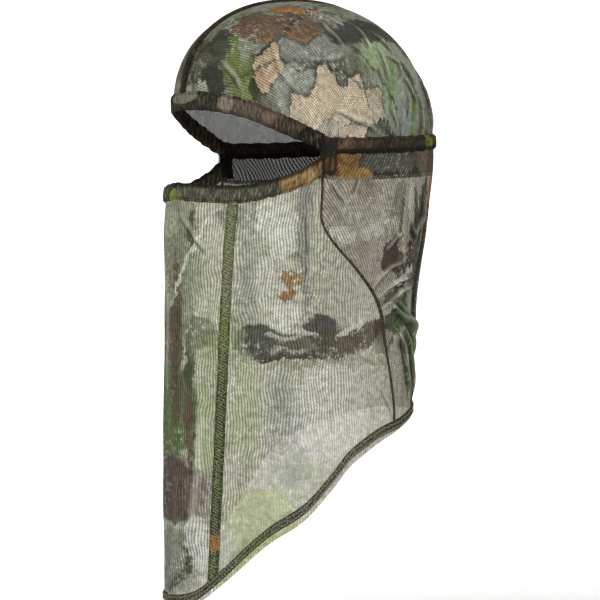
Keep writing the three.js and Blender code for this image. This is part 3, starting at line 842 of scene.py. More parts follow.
BROW_MARKS = [
    (6, 82, 46, 16, 0, 0.9, "#2b2b26"), (-44, 84, 62, 16, 0, 0.9, "#2e2c25"),
    (0, 78, 18, 6, 0, 0.6, "#8b8d78"), (42, 92, 26, 12, 0, 0.9, "#574b42"),
    (31, 84, 7, 7, 0, 0.8, "#857668"), (52, 99, 9, 9, 0, 0.6, "#6a574a"),
    (60, 106, 15, 12, 0, 0.85, "#3b3128"), (72, 114, 16, 16, 0, 0.95, "#12110d"),
]
# Four layers of netting pulled up small: dark brown and ribbed across, with painted shade that turns it black
# along its lower sewn edge, over the eyes.
brow_cloth = folded_cloth("netting folded into a brow casing", "#322d26", "#4c3b2d", BROW_MARKS,
                          grain=(0.62, 0.14), pale="#94816a", pale_strength=0.35, dark_edge=(0.9, 1.0))
brow_place = region(at_angle(-TEMPLE - 2), at_angle(TEMPLE + 2), crown_rim, upper_edge)
brow_pucker = gathered(0.7, 5.4, 1.0)
brow_hem = ribbon("brow_hem", brow_place, 520, flat_section(2.2, 1.5, 9, 0.6), "across", brow_pucker)
finish_cloth(brow_hem, brow_cloth, ["brow_hem_casing"], "hood")

# Woven black elastic, 8 mm wide, runs through each casing: dull black with fine ribs along it.
elastic_weave = folded_cloth("woven black elastic", "#0d0d0d", "#1c1c1a", grain=(0.2, 1.2), pale="#2c2c2a")


def elastic_strip(name, start, end, top, bottom, stations):
    def middle(angle):
        return (top(angle) + bottom(angle)) / 2
    place = region(at_angle(start), at_angle(end), below(middle, -ELASTIC_HALF_WIDTH),
                   below(middle, ELASTIC_HALF_WIDTH))
    return ribbon(name, place, stations, flat_section(0.5, 0.5, 5), "across")


brow_elastic = elastic_strip("brow_elastic_strip", -TEMPLE, TEMPLE, crown_rim, upper_edge, 220)
finish_cloth(brow_elastic, elastic_weave, ["brow_elastic"], "hood")


# ---------------------------------------------------------------- lower hem
# The top of the face cloth, folded over its own elastic in the same way.

EYE_FLOOR_DEPTH = 145
LOWER_CASING_WIDTH = 14
eye_bottom = line_between(EYE_FLOOR_DEPTH, BAND_DEPTH, [[0, 0], [31, -0.14], [42, -0.14], [54, 0.05],
                                                        [66, 0.43], [76, 1]])


def lower_edge(angle):
    turn = fold_over(angle)
    return np.where(turn <= TEMPLE, eye_bottom(turn), band_bottom(turn))


def panel_top(angle):
    return lower_edge(angle) + LOWER_CASING_WIDTH + 5 * ease(fold_over(angle), TEMPLE - 16, TEMPLE + 8)


# Two places in metres, from the jaw up to the hem.
PULL_START = (0, -0.0725, -0.1860)
PULL_END = (0, -0.1114, -0.1579)

LOWER_MARKS = [
    (-2, 150, 13, 18, 0, 0.95, "#121210"), (2, 156, 9, 5, 0, 0.95, "#7d9637"),
    (30, 153, 40, 18, 0, 0.8, "#4b4a3f"), (68, 142, 18, 17, 0, 0.95, "#9a7f51"),
    (65, 147, 9, 5, 20, 0.7, "#6b4d2a"), (75, 133, 6, 12, 0, 0.85, "#5f4428"),
    (-44, 152, 60, 16, 0, 0.85, "#4b4a3f"),
]
# Gathered layers as at the brow, paler and greener, with a lime leaf tip at the front.
lower_cloth = folded_cloth("netting folded into a lower casing", "#34332b", "#55513f", LOWER_MARKS,
                           grain=(0.62, 0.14), pale="#a39d86", pale_strength=0.45, dark_edge=(0.34, 0.06))
lower_place = region(at_angle(-TEMPLE - 2), at_angle(TEMPLE + 2), lower_edge, panel_top)
lower_pucker = gathered(0.75, 5.8, 4.0)
lower_hem = ribbon("lower_hem", lower_place, 520, flat_section(2.2, 1.5, 9, 0.6), "across", lower_pucker)
finish_cloth(lower_hem, lower_cloth, ["lower_hem_casing"])
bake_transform(lower_hem)
lower_elastic = elastic_strip("lower_elastic_strip", -TEMPLE, TEMPLE, lower_edge, panel_top, 220)
finish_cloth(lower_elastic, elastic_weave, ["lower_hem_elastic"])
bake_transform(lower_elastic)


# ---------------------------------------------------------------- headband
# A casing from temple to temple round the back of the head, with an elastic in it that shows as a black
# line along its lower edge, and a double layer of netting that hangs below it.

BAND_START = 80.3          # where the headband leaves the bartack

BAND_MARKS = [
    (84, 116, 9, 12, 20, 0.9, "#5f4a38"), (94, 117, 9, 7, 0, 0.85, "#463830"),
    (104, 114, 8, 6, 0, 0.7, "#2a2018"), (136, 112, 7, 10, 0, 0.85, "#6d7a2c"),
    (156, 112, 20, 12, 0, 0.8, "#50361f"),
]
# Darker and flatter than the hems, as the cloth is stretched here, with the elastic as a black line.
band_cloth = folded_cloth("netting folded into a headband casing", "#211d17", "#3c3026", BAND_MARKS,
                          grain=(0.5, 0.2), pale="#6f5d48", pale_strength=0.4, dark_edge=(0.62, 0.76))
band_ends = at_angle(BAND_START - 3), at_angle(360 - (BAND_START - 3))
band_place = region(*band_ends, crown_rim, upper_edge)
band_pucker = gathered(0.6, 7.5, 2.0)
headband = ribbon("headband", band_place, 560, flat_section(2.2, 1.5, 9, 0.5), "across", band_pucker)
finish_cloth(headband, band_cloth, ["headband_casing"], "hood")
band_elastic = elastic_strip("headband_elastic_strip", BAND_START, 360 - BAND_START, crown_rim,
                             upper_edge, 260)
finish_cloth(band_elastic, elastic_weave, ["headband_elastic"], "hood")

DOUBLE_MARKS = [
    (104, 133, 22, 12, 0, 0.85, "#57564a"), (116, 133, 14, 12, 0, 0.8, "#5d5c52"),
    (110, 140, 46, 3.2, 0, 0.85, "#26241c"), (86, 133, 46, 15, -40, 1, "#93703f", "#b58a4e", "#4a331c"),
    (94, 138, 10, 5, -20, 0.85, "#a9854f"), (134, 128, 9, 14, 0, 0.85, "#6d604a"),
    (142, 130, 9, 14, 0, 0.85, "#5a3f28"), (126, 138, 8, 6, 0, 0.8, "#25211a"),
    (165, 128, 30, 14, 0, 0.85, "#3a2d20"),
]
# Two layers over each other: nearly closed, so it looks darker and flatter than one.
double_netting = netting("doubled warp-knit polyester netting", [(0.3, "#4b4a3f"), (0.7, "#605e50")],
                         "#3b382d", DOUBLE_MARKS, tube_map, (0.93, 1.0), grain=30, speckle=0.25)
double_place = region(*band_ends, below(lower_edge, -1), below(panel_top, 1))
double_layer = sheet("headband_double_layer_cloth", double_place, 460, 22)
finish_cloth(double_layer, double_netting, ["headband_double_layer"], "hood")


# ---------------------------------------------------------------- temple bartacks
# Where the brow hem, the lower hem and the headband meet, all layers are gathered and sewn through
# with dense black zigzag stitching.

# A pad of thread so dense that almost no cloth shows: dull black, ribbed as the stitches lie.
tack_thread = folded_cloth("dense black polyester thread", "#100f0c", "#2a251e", [
    (78, 132, 6, 5, 0, 0.7, "#6a4a2a")], grain=(0.3, 0.9), pale="#4a4234")
for side, sign in (("left", 1), ("right", -1)):
    tack_place = region(at_angle(TEMPLE - 1.5), at_angle(BAND_START + 1.5), below(crown_rim, 1),
                        below(panel_top, -3))
    tack = ribbon(f"temple_bartack_sewing_{side}", tack_place if sign > 0 else other_side(tack_place), 60,
                  flat_section(2.9, 2.0, 9), "down", gathered(0.7, 2.4, 3.0 + sign))
    finish_cloth(tack, tack_thread, [f"temple_bartack_{side}"], "hood")


# ---------------------------------------------------------------- face, cheeks and bib
# The front panel covers nose, mouth and chin and hangs on as the bib. The side panels join it along
# the cheek seams. All of it is one print, so the pieces share one netting.

BIB_TIP_DEPTH = 477
NAPE_DEPTH = 326
CHEEK_SEAM_TOP = 39        # the angles at which the cheek seam starts under the eyes, and its turn below
CHEEK_SEAM_TURN = 10


def cheek_seam(shift):
    """The cheek seam's angle at a depth, or that of a line a shift beside it in millimetres."""
    def at(depth):
        share = (depth - EYE_FLOOR_DEPTH) / (BIB_TIP_DEPTH - EYE_FLOOR_DEPTH)
        angle = CHEEK_SEAM_TOP - CHEEK_SEAM_TURN * share
        return angle + degrees_for(shift, angle, depth)
    return at


def neck_seam(shift):
    """The same for the neck seam, which bends back from the temple and then runs down."""
    def at(depth):
        angle = TEMPLE + 34 * ease(depth, 168, 258) + 9 * ease(depth, CHIN_DEPTH, NAPE_DEPTH)
        return angle + degrees_for(shift, angle, depth)
    return at


# The face and bib print: pale sage with upright streaks of green and brown, and marks that darken a band
# across the jaw. One open layer, so light comes through it and it looks pale and airy.
FACE_MARKS = [
    (0, 210, 36, 52, 0, 0.8, "#7b7f63"), (-14, 240, 5, 60, 0, 0.7, "#595a44"),
    (6, 236, 4, 40, 3, 0.85, "#685441"), (-4, 176, 14, 12, 0, 0.6, "#b9bba3"),
    (3, 268, 12, 30, 0, 0.9, "#5e4d3d"), (-10, 276, 5, 26, 0, 0.8, "#4b4d36"),
    (-1, 322, 33, 40, 0, 0.95, "#5c6f41"), (5, 302, 8, 34, 5, 0.85, "#5f5243"),
    (-14, 350, 7, 24, 8, 0.7, "#4a5a31"), (16, 322, 4, 46, 3, 0.9, "#5d4c3c"),
    (16, 220, 3, 62, 0, 0.85, "#454c2d"), (16, 280, 4, 26, 0, 0.8, "#41502a"),
    (2, 384, 34, 28, 0, 0.95, "#57493f"), (7, 384, 3, 26, 4, 0.8, "#6c5649"),
    (-12, 380, 4, 26, 0, 0.8, "#292420"), (1, 440, 33, 28, 0, 0.8, "#7d8272"),
    (17, 424, 3.5, 24, -8, 0.9, "#41452f"), (8, 455, 12, 4, 30, 0.8, "#4c523c"),
    # The thin pale line at 14 degrees and 205 mm is a painted highlight on a fold across the face.
    (22, 235, 13, 50, 0, 0.5, "#b9bf9f"), (14, 205, 2.2, 40, -30, 0.75, "#dcdfc8"),
    (20, 262, 17, 12, -8, 0.75, "#717458"), (30, 268, 9, 8, 0, 0.7, "#83885f"),
    (28, 300, 9, 30, 0, 0.5, "#9aa97a"), (26, 340, 7, 40, 4, 0.5, "#94a56c"),
    (24, 388, 15, 22, 0, 0.55, "#8f8078"), (21, 424, 9, 24, 8, 0.6, "#dfe0da"),
    (38, 172, 12, 10, 0, 0.7, "#7a7b6c"), (58, 176, 15, 17, 10, 0.6, "#d9dacd"),
    (61, 192, 10, 14, -20, 0.6, "#dedfd2"), (55, 222, 13, 20, 0, 0.5, "#c9cabb"),
    (62, 248, 13, 10, 20, 0.55, "#dddecf"), (70, 190, 6, 60, 3, 0.7, "#83847d"),
    (65, 220, 7, 8, 20, 0.9, "#977645"), (63, 232, 6, 5, 0, 0.9, "#856236"),
    (46, 190, 6, 40, 0, 0.5, "#8f9184"), (46, 235, 9, 30, 0, 0.5, "#8f9185"),
    (82, 225, 20, 34, 12, 0.45, "#a5a193"), (50, 269, 17, 14, 0, 0.93, "#474841"),
    (60, 271, 20, 12, -6, 0.92, "#535349"), (72, 273, 22, 9, 0, 0.9, "#605d4f"),
    (77, 260, 13, 13, 45, 0.95, "#464540"), (86, 270, 22, 11, 4, 0.92, "#56503f"),
    (99, 266, 20, 10, 24, 0.9, "#5c5443"), (109, 259, 11, 8, 36, 0.88, "#3f382f"),
    (112, 272, 14, 9, 12, 0.75, "#7b7361"), (61, 265, 14, 2.2, -3, 0.85, "#b5b6a2"),
    (72, 262, 9, 2, -20, 0.8, "#c4c3b0"), (64, 275, 16, 1.8, -3, 0.75, "#a9aa97"),
    (92, 258, 18, 3, 26, 0.85, "#cfcfc0"), (68, 281, 40, 2, 0, 0.8, "#2f2f27"),
    (84, 286, 54, 4, 0, 0.5, "#857d68"), (82, 325, 34, 40, 0, 0.75, "#d3d0c7"),
    (96, 304, 26, 18, 0, 0.6, "#c6c1b7"), (62, 336, 14, 50, 4, 0.45, "#9c9f9c"),
    (46, 320, 11, 46, 0, 0.55, "#a9b58a"), (42, 275, 6, 26, 0, 0.5, "#93a079"),
    (53, 408, 25, 26, 24, 0.8, "#a7b07c"), (46, 432, 14, 10, 30, 0.7, "#8d9a62"),
    (60, 392, 7, 12, 30, 0.7, "#b9c18d"), (51, 431, 44, 6, 40, 0.75, "#a9b478"),
    (-50, 190, 18, 24, 0, 0.75, "#d3d4c6"), (-72, 214, 8, 9, 20, 0.85, "#93703a"),
    (-62, 272, 44, 11, 3, 0.9, "#56544a"), (-84, 262, 14, 13, 40, 0.9, "#4a4843"),
    (-46, 330, 14, 46, 0, 0.6, "#97a677"), (-80, 318, 28, 28, 0, 0.6, "#c4c1b8"),
    (-36, 380, 16, 34, 6, 0.8, "#5f7c40"), (-58, 396, 16, 22, -20, 0.75, "#a7b07c"),
    (-30, 230, 8, 60, 3, 0.7, "#8a8468"),
]
FACE_GROUND = [(0.3, "#92947c"), (0.44, "#babca3"), (0.58, "#c1beae"), (0.75, "#9b9682")]
face_netting = netting("printed warp-knit polyester netting, face and bib", FACE_GROUND, "#85836f",
                       FACE_MARKS, tube_map, (0.88, 1.0), wale=2.2, dots=0.25)

# The neck panels are cut on the bias, so their wales run aslant. Their print is a warmer grey, and dark
# where it bunches at the nape, partly from the layered cloth and partly painted shade in the folds.
NECK_MARKS = [
    (94, 170, 30, 16, 0, 0.5, "#a5a397"), (100, 206, 26, 28, 0, 0.5, "#989286"),
    (84, 176, 5, 26, 30, 0.6, "#85816f"), (86, 186, 11, 6, -10, 0.6, "#cfd0c0"),
    (100, 184, 13, 6, 12, 0.55, "#d2d3c4"), (112, 176, 9, 5, 0, 0.6, "#c0c0b0"),
    (114, 160, 6, 18, -20, 0.6, "#6f7358"), (124, 156, 4, 18, 10, 0.7, "#c6c8bc"),
    (131, 146, 4, 14, 0, 0.8, "#98a1a3"), (113, 200, 9, 17, -30, 0.92, "#33261e"),
    (119, 206, 7, 10, 0, 0.9, "#44301f"), (136, 196, 13, 34, 8, 0.88, "#463d32"),
    (130, 178, 5, 26, -8, 0.8, "#3b342a"), (148, 160, 9, 32, 0, 0.95, "#7b512f"),
    (144, 156, 3, 20, 0, 0.85, "#a3662f"), (154, 180, 8, 54, 0, 0.95, "#1b1812"),
    (138, 166, 5, 30, 4, 0.85, "#2a231b"), (150, 226, 10, 34, 0, 0.9, "#2b251d"),
    (168, 200, 22, 70, 0, 0.85, "#4a3626"), (170, 290, 20, 30, 0, 0.8, "#3a4020"),
    # The pale and dark marks from 113 to 128 degrees follow the folds below the temple: painted highlight on
    # their tops and painted shade in their hollows.
    (128, 214, 16, 9, 18, 0.85, "#2f2a22"), (126, 218, 18, 3, 18, 0.85, "#c6c8ba"),
    (124, 225, 16, 2.2, 20, 0.9, "#1f1c17"), (116, 234, 14, 5, 30, 0.85, "#3c3a33"),
    (113, 246, 9, 5, 30, 0.85, "#b5b3a6"), (118, 252, 12, 8, 30, 0.9, "#423c33"),
    (126, 248, 40, 12, 52, 1, "#4a6429", "#668a38", "#25331a"), (137, 264, 6, 20, 28, 0.92, "#55742c"),
    (146, 250, 6, 34, 8, 0.92, "#1d1f15"), (134, 286, 5, 26, 10, 0.92, "#466a22"),
    (144, 296, 5, 30, 0, 0.92, "#5f8433"), (152, 290, 4, 34, 0, 0.95, "#1a2012"),
    (148, 322, 9, 9, 0, 0.85, "#3a3a2a"), (118, 300, 16, 28, 0, 0.6, "#b3afa5"),
    (130, 272, 9, 9, 0, 0.75, "#6a6454"), (110, 316, 16, 14, 0, 0.5, "#bcb8ae"),
    (-96, 184, 22, 9, 6, 0.75, "#cdcebf"), (-118, 200, 12, 20, 20, 0.9, "#3f3228"),
    (-140, 220, 14, 44, 6, 0.88, "#463d32"), (-150, 160, 8, 28, 0, 0.92, "#6d4a2e"),
    (-128, 268, 9, 40, -14, 0.92, "#4f6d2c"), (-108, 290, 20, 26, 0, 0.6, "#b3afa5"),
    (-160, 280, 16, 40, 0, 0.85, "#3a4020"),
]
NECK_GROUND = [(0.3, "#7b7865"), (0.44, "#aaa694"), (0.58, "#a39c8a"), (0.75, "#756c59")]
neck_netting = netting("printed warp-knit polyester netting, neck", NECK_GROUND, "#6f6b5a",
                       NECK_MARKS, tube_map, (0.86, 1.0), grain=-28, wale=2.2, dots=0.3)

bottom_edge = line_between(BIB_TIP_DEPTH, NAPE_DEPTH, [[0, 0], [20, 0.03], [35, 0.14], [57, 0.35], [70, 0.46],
                                      [82, 0.62], [91, 0.74], [114, 0.87], [155, 0.985], [180, 1]])


def hem_bottom(angle):
    return bottom_edge(fold_over(angle))


HEM_WIDTH = 8

# The selvedge's width in millimetres at angles from the front.
SELVEDGE_TURNS = [0, 12, 30, 45, 90, 108, 125, 180]
SELVEDGE_WIDTHS = [2.5, 2.5, 3.5, 5.5, 5.5, 4.0, 1.0, 1.0]


def hem_line(height):
    """A line that runs a height above the lower edge of the bottom hem, which stands above a selvedge."""
    def at(angle):
        return hem_bottom(angle) - np.interp(fold_over(angle), SELVEDGE_TURNS, SELVEDGE_WIDTHS) - height
    return at


def chin(angle):
    return CHIN_DEPTH + 0 * angle


face_left = cheek_seam(-0.3)


def face_right(depth):
    return -face_left(depth)


# Two places in metres, from the chin line down.
BIB_START = (0, -0.1185, -0.2490)
BIB_END = (0, -0.1793, -0.3525)

face = sheet("face_cloth", region(face_right, face_left, below(panel_top, -CASING_LAP), chin), 110, 90)
finish_cloth(face, face_netting, ["face_panel"])
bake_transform(face)

bib = sheet("bib_cloth", region(face_right, face_left, chin, hem_bottom), 110, 220)
finish_cloth(bib, face_netting, ["bib_panel"])
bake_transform(bib)

cheek_place = region(cheek_seam(0.3), neck_seam(0), below(panel_top, -CASING_LAP), chin)
bib_side_place = region(cheek_seam(0.3), neck_seam(0), chin, hem_bottom)
neck_place = region(neck_seam(0), at_angle(180), below(panel_top, -CASING_LAP), hem_bottom)
for side, turn in (("left", lambda p: p), ("right", other_side)):
    cheek = sheet(f"cheek_cloth_{side}", turn(cheek_place), 120, 110)
    finish_cloth(cheek, face_netting, [f"cheek_panel_{side}"])
    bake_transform(cheek)
    flank = sheet(f"bib_side_cloth_{side}", turn(bib_side_place), 130, 200)
    finish_cloth(flank, face_netting, [f"bib_side_panel_{side}"])
    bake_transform(flank)
    neck = sheet(f"neck_cloth_{side}", turn(neck_place), 180, 200)
    finish_cloth(neck, neck_netting, [f"neck_panel_{side}"], "hood")


# ---------------------------------------------------------------- seams down the face, neck and back
# Cheek seams are wide overlocked seams in dark olive, neck seams are narrow, and the centre back seam
# is wide and brown.

HALF_CHEEK_SEAM = 4.25
HALF_BACK_SEAM = 4.5

SEAM_MARKS = [
    (31, 424, 8, 7, 0, 0.9, "#8f6030"), (38, 205, 8, 50, 0, 0.75, "#676b4e"),
    (36, 262, 8, 14, 0, 0.6, "#5d6a2c"), (34, 330, 8, 26, 0, 0.6, "#2b3a18"),
    (30, 400, 8, 20, 0, 0.6, "#26291b"),
]
# Overlocked layers of the green print: a dense moss-green cord of cloth, with painted shade in the pits where
# loops bite in.
olive_seam = folded_cloth("overlocked seam, dark olive", "#2f3a1a", "#48552a", SEAM_MARKS,
                          grain=(0.55, 0.6), pale="#b0b48a", pale_strength=0.6)
# The brown layers of the neck: narrow, dark and dull, a line more than a strip.
brown_seam = folded_cloth("overlocked seam, brown", "#2e2620", "#4b3d30", [
    (180, 190, 12, 30, 0, 0.8, "#7b4f2c"), (180, 280, 12, 30, 0, 0.8, "#2f3a1a")], grain=(0.5, 0.4),
    pale="#7a6248", pale_strength=0.35)
seam_section = flat_section(1.5, 0.8, 9, 0.3)
seam_sides = cheek_seam(-HALF_CHEEK_SEAM), cheek_seam(HALF_CHEEK_SEAM)
cheek_strip = region(*seam_sides, below(panel_top, -CASING_LAP), chin)
bib_strip = region(*seam_sides, chin, hem_line(HEM_WIDTH / 2))


def neck_half(depth):
    """Half the neck seam's width: hair-thin at the temple and the nape, wider where it bends."""
    return 0.8 + 1.0 * ease(depth, 160, 215) - 1.0 * ease(depth, 256, 280)


def neck_edge(side):
    def at(depth):
        angle = neck_seam(0)(depth)
        return angle + degrees_for(side * neck_half(depth), angle, depth)
    return at


neck_strip = region(neck_edge(-1), neck_edge(1), below(panel_top, -CASING_LAP), hem_line(HEM_WIDTH / 2))
for side, turn in (("left", lambda p: p), ("right", other_side)):
    upper = ribbon(f"cheek_seam_tape_{side}", turn(cheek_strip), 110, seam_section)
    finish_cloth(upper, olive_seam, [f"cheek_seam_{side}"])
    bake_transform(upper)
    lower = ribbon(f"bib_seam_tape_{side}", turn(bib_strip), 220, seam_section)
    finish_cloth(lower, olive_seam, [f"bib_seam_{side}"])
    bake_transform(lower)
    back = ribbon(f"neck_seam_tape_{side}", turn(neck_strip), 220, flat_section(1.5, 0.6, 5))
    finish_cloth(back, brown_seam, [f"neck_seam_{side}"], "hood")

centre_strip = region(lambda d: 180 - degrees_for(HALF_BACK_SEAM, 180, d),
                      lambda d: 180 + degrees_for(HALF_BACK_SEAM, 180, d),
                      below(panel_top, -CASING_LAP), hem_line(HEM_WIDTH / 2))
centre_seam = ribbon("neck_centre_seam_tape", centre_strip, 180, flat_section(2.4, 0.8, 9, 0.3))
finish_cloth(centre_seam, brown_seam, ["neck_centre_seam"], "hood")


# ---------------------------------------------------------------- bottom hem
# One strip turned up and coverstitched round the bib, the sides and the nape, divided where the seams
# cross it. A narrow selvedge of single netting hangs out below it.

# Three layers, dark and flat between two rows of stitches, with pale threads showing in it.
hem_cloth = folded_cloth("netting turned up into a coverstitched hem", "#33322a", "#4f4d3c", [
    (120, 330, 60, 8, 0, 0.7, "#2a261f"), (50, 430, 26, 14, 0, 0.7, "#3f4a1e"),
    (0, 470, 24, 14, 0, 0.6, "#3d3d2c")],
    grain=(0.6, 0.6), pale="#bdbba4", pale_strength=0.45)
hem_section = flat_section(1.5, 0.8, 9, 0.3)
front_hem_place = region(lambda d: -cheek_seam(HALF_CHEEK_SEAM)(d), cheek_seam(HALF_CHEEK_SEAM),
                         hem_line(HEM_WIDTH), hem_line(0))
front_hem = ribbon("bib_hem_strip", front_hem_place, 150, hem_section, "across")
finish_cloth(front_hem, hem_cloth, ["bib_hem"])
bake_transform(front_hem)
side_hem_place = region(cheek_seam(HALF_CHEEK_SEAM), neck_seam(1.5), hem_line(HEM_WIDTH), hem_line(0))
for side, turn in (("left", lambda p: p), ("right", other_side)):
    side_hem = ribbon(f"side_hem_strip_{side}", turn(side_hem_place), 210, hem_section, "across")
    finish_cloth(side_hem, hem_cloth, [f"side_hem_{side}"])
    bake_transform(side_hem)
nape_place = region(neck_seam(1.5), lambda d: 360 - neck_seam(1.5)(d), hem_line(HEM_WIDTH), hem_line(0))
nape = ribbon("nape_hem_strip", nape_place, 180, hem_section, "across")
finish_cloth(nape, hem_cloth, ["nape_hem"], "hood")


# ---------------------------------------------------------------- sewing thread
# Polyester thread over the hems and the wide seams: straight coverstitching in rows along the hems,
# overlock loops across the seams, and a dense zigzag on the temple bartacks.

# Spun thread is dull. The pale one stands out on the hem and the olive seams, the dark one sinks in.
thread = folded_cloth("spun polyester sewing thread", "#85836d", "#a19f86", grain=(2.0, 2.0),
                      pale="#c4c2a8")
dark_thread = folded_cloth("spun polyester thread, black brown", "#1b1813", "#332b21", grain=(2.0, 2.0))

# Each stitch is a small oval of thread set along a line of edges, turned out of the cloth. Real ones are
# about 0.3 mm thick, and these are up to 0.6 mm, or 0.9 mm in the zigzag, so that they show.
sewing = bpy.data.node_groups.new("stitches along lines", "GeometryNodeTree")
for title, kind in (("Lines", "Geometry"), ("Spacing", "Float"), ("Stitch length", "Float"),
                    ("Thread thickness", "Float"), ("Turn", "Float"), ("Unevenness", "Float"),
                    ("Seed", "Int"), ("Thread", "Material")):
    sewing.interface.new_socket(title, in_out="INPUT", socket_type=f"NodeSocket{kind}")
sewing.interface.new_socket("Stitches", in_out="OUTPUT", socket_type="NodeSocketGeometry")
given, sewn = add(sewing, "NodeGroupInput").outputs, add(sewing, "NodeGroupOutput")
line = add(sewing, "GeometryNodeMeshToCurve", {"Mesh": given["Lines"]})
spaced = add(sewing, "GeometryNodeResampleCurve", {"Curve": line, "Length": given["Spacing"]},
             mode="LENGTH")
outward = add(sewing, "GeometryNodeInputNamedAttribute", {"Name": "outward"}, data_type="FLOAT_VECTOR")
tangent = add(sewing, "GeometryNodeInputTangent")
facing = add(sewing, "FunctionNodeAxesToRotation", {"Primary Axis": outward, "Secondary Axis": tangent},
             primary_axis="Z", secondary_axis="X")
least = add(sewing, "ShaderNodeMath", {0: given["Unevenness"], 1: -1.0}, operation="MULTIPLY")
swing = add(sewing, "FunctionNodeRandomValue", {2: least, 3: given["Unevenness"], "Seed": given["Seed"]},
            data_type="FLOAT")
turned = add(sewing, "ShaderNodeMath", {0: given["Turn"], 1: swing.outputs[1]}, operation="ADD")
aslant = add(sewing, "FunctionNodeAxisAngleToRotation", {"Axis": (0.0, 0.0, 1.0), "Angle": turned})
laid = add(sewing, "FunctionNodeRotateRotation", {"Rotation": facing, "Rotate By": aslant},
           rotation_space="LOCAL")
oval = add(sewing, "GeometryNodeMeshUVSphere", {"Segments": 6, "Rings": 4, "Radius": 0.5})
size = add(sewing, "ShaderNodeCombineXYZ", {0: given["Stitch length"], 1: given["Thread thickness"],
                                            2: given["Thread thickness"]})
placed = add(sewing, "GeometryNodeInstanceOnPoints", {"Points": spaced, "Instance": oval.outputs["Mesh"],
                                                      "Rotation": laid, "Scale": size})
real = add(sewing, "GeometryNodeRealizeInstances", {"Geometry": placed})
coloured = add(sewing, "GeometryNodeSetMaterial", {"Geometry": real, "Material": given["Thread"]})
sewing.links.new(coloured.outputs[0], sewn.inputs[0])


def stitching(name, rows, body, material=thread, **sizes):
    """Stitches along rows of (angles, depths, heights) on the cloth; body is the one they ride on when it
    is the hood, and otherwise they stay where they are. sizes are named as the inputs of the stitches."""
    points, edges, normals = [], [], []
    for angle, depth, height in rows:
        angle, depth, height = np.broadcast_arrays(angle, depth, height)
        start = len(points)
        points += (cloth_point(angle, depth, height)[0] * MM).tolist()
        normals += bare_normal(angle, depth).tolist()
        edges += [(start + i, start + i + 1) for i in range(len(angle) - 1)]
    mesh = bpy.data.meshes.new(name)
    mesh.from_pydata(points, edges, [])
    outward_way = mesh.attributes.new("outward", "FLOAT_VECTOR", "POINT")
    outward_way.data.foreach_set("vector", np.array(normals).ravel())
    piece = bpy.data.objects.new(name, mesh)
    bpy.context.scene.collection.objects.link(piece)
    modifier = piece.modifiers.new("stitches", "NODES")
    modifier.node_group = sewing
    values = {"Spacing": 2.6 * MM, "Stitch length": 2.2 * MM, "Thread thickness": 0.6 * MM, "Turn": 0.0,
              "Unevenness": 0.06, "Seed": 7, "Thread": material, **sizes}
    for socket in sewing.interface.items_tree:
        if socket.in_out == "INPUT" and socket.name in values:
            modifier[socket.identifier] = values[socket.name]
    shown = piece.evaluated_get(bpy.context.evaluated_depsgraph_get())
    plain = bpy.data.meshes.new_from_object(shown)
    piece.modifiers.remove(modifier)
    piece.data = plain
    if body == "hood":
        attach(piece, body)
    else:
        start, end = (PULL_START, PULL_END) if body == "lower_edge" else (BIB_START, BIB_END)
        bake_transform(piece)


def hem_row(start, end, line, height, pucker=None, share=0.5, steps=400):
    """A row along a hem, puckered as its casing is."""
    angle = np.linspace(start, end, steps)
    depth = line(angle)
    if pucker:
        return pucker(angle, depth, height, share)[:3]
    return angle, depth, height


def seam_row(side, line, start, end, height=1.7, steps=300):
    """A row down a seam, on the left where side is 1 and on the right where it is -1."""
    depth = np.linspace(start, end, steps)
    return side * line(depth), depth, height


def hem_at_seam(line):
    """The depth at which a seam meets the bottom hem."""
    depth = CHIN_DEPTH + 150.0
    for _ in range(40):
        depth = float(hem_line(HEM_WIDTH)(line(depth)))
    return depth


ROW_INSET = 2.2
ROW_HEIGHT = 2.0


def casing_rows(start, end, top, bottom, pucker):
    """A row along each edge of a casing."""
    return [hem_row(start, end, below(top, ROW_INSET), ROW_HEIGHT, pucker, 0.15),
            hem_row(start, end, below(bottom, -ROW_INSET), ROW_HEIGHT, pucker, 0.85)]


stitching("brow_hem_stitches", casing_rows(-TEMPLE, TEMPLE, crown_rim, upper_edge, brow_pucker),
          "hood", dark_thread)
stitching("headband_stitches",
          casing_rows(BAND_START, 360 - BAND_START, crown_rim, upper_edge, band_pucker), "hood", dark_thread)
stitching("lower_hem_stitches", casing_rows(-TEMPLE, TEMPLE, lower_edge, panel_top, lower_pucker),
          "lower_edge", dark_thread)

side_turn = float(neck_seam(0)(hem_at_seam(neck_seam(0))))
for part, start, end, body in (("front", -side_turn, side_turn, "bib"),
                               ("nape", side_turn, 360 - side_turn, "hood")):
    stitching(f"{part}_hem_coverstitch", [hem_row(start, end, hem_line(height), 1.5)
                                          for height in (ROW_INSET, HEM_WIDTH - ROW_INSET)], body)

OVERLOCK = {"Spacing": 2.3 * MM, "Stitch length": 6.2 * MM, "Thread thickness": 0.5 * MM,
            "Turn": math.radians(62), "Unevenness": 0.12}
cheek_line = cheek_seam(0)
stitching("cheek_seam_overlock", [seam_row(side, cheek_line, 168, CHIN_DEPTH) for side in (-1, 1)],
          "lower_edge", **OVERLOCK)
stitching("bib_seam_overlock",
          [seam_row(side, cheek_line, CHIN_DEPTH, hem_at_seam(cheek_line)) for side in (-1, 1)],
          "bib", **OVERLOCK)
stitching("centre_back_overlock", [seam_row(1, at_angle(180), 140, 312, 2.6)], "hood", dark_thread,
          **OVERLOCK)
stitching("temple_zigzag", [(side * (TEMPLE + across), np.linspace(112, 136, 40), 3.1)
                            for side in (-1, 1) for across in (-0.6, 2.1, 4.8)],
          "hood", dark_thread, **{**OVERLOCK, "Spacing": 1.3 * MM, "Stitch length": 3.6 * MM,
                                  "Thread thickness": 0.9 * MM})


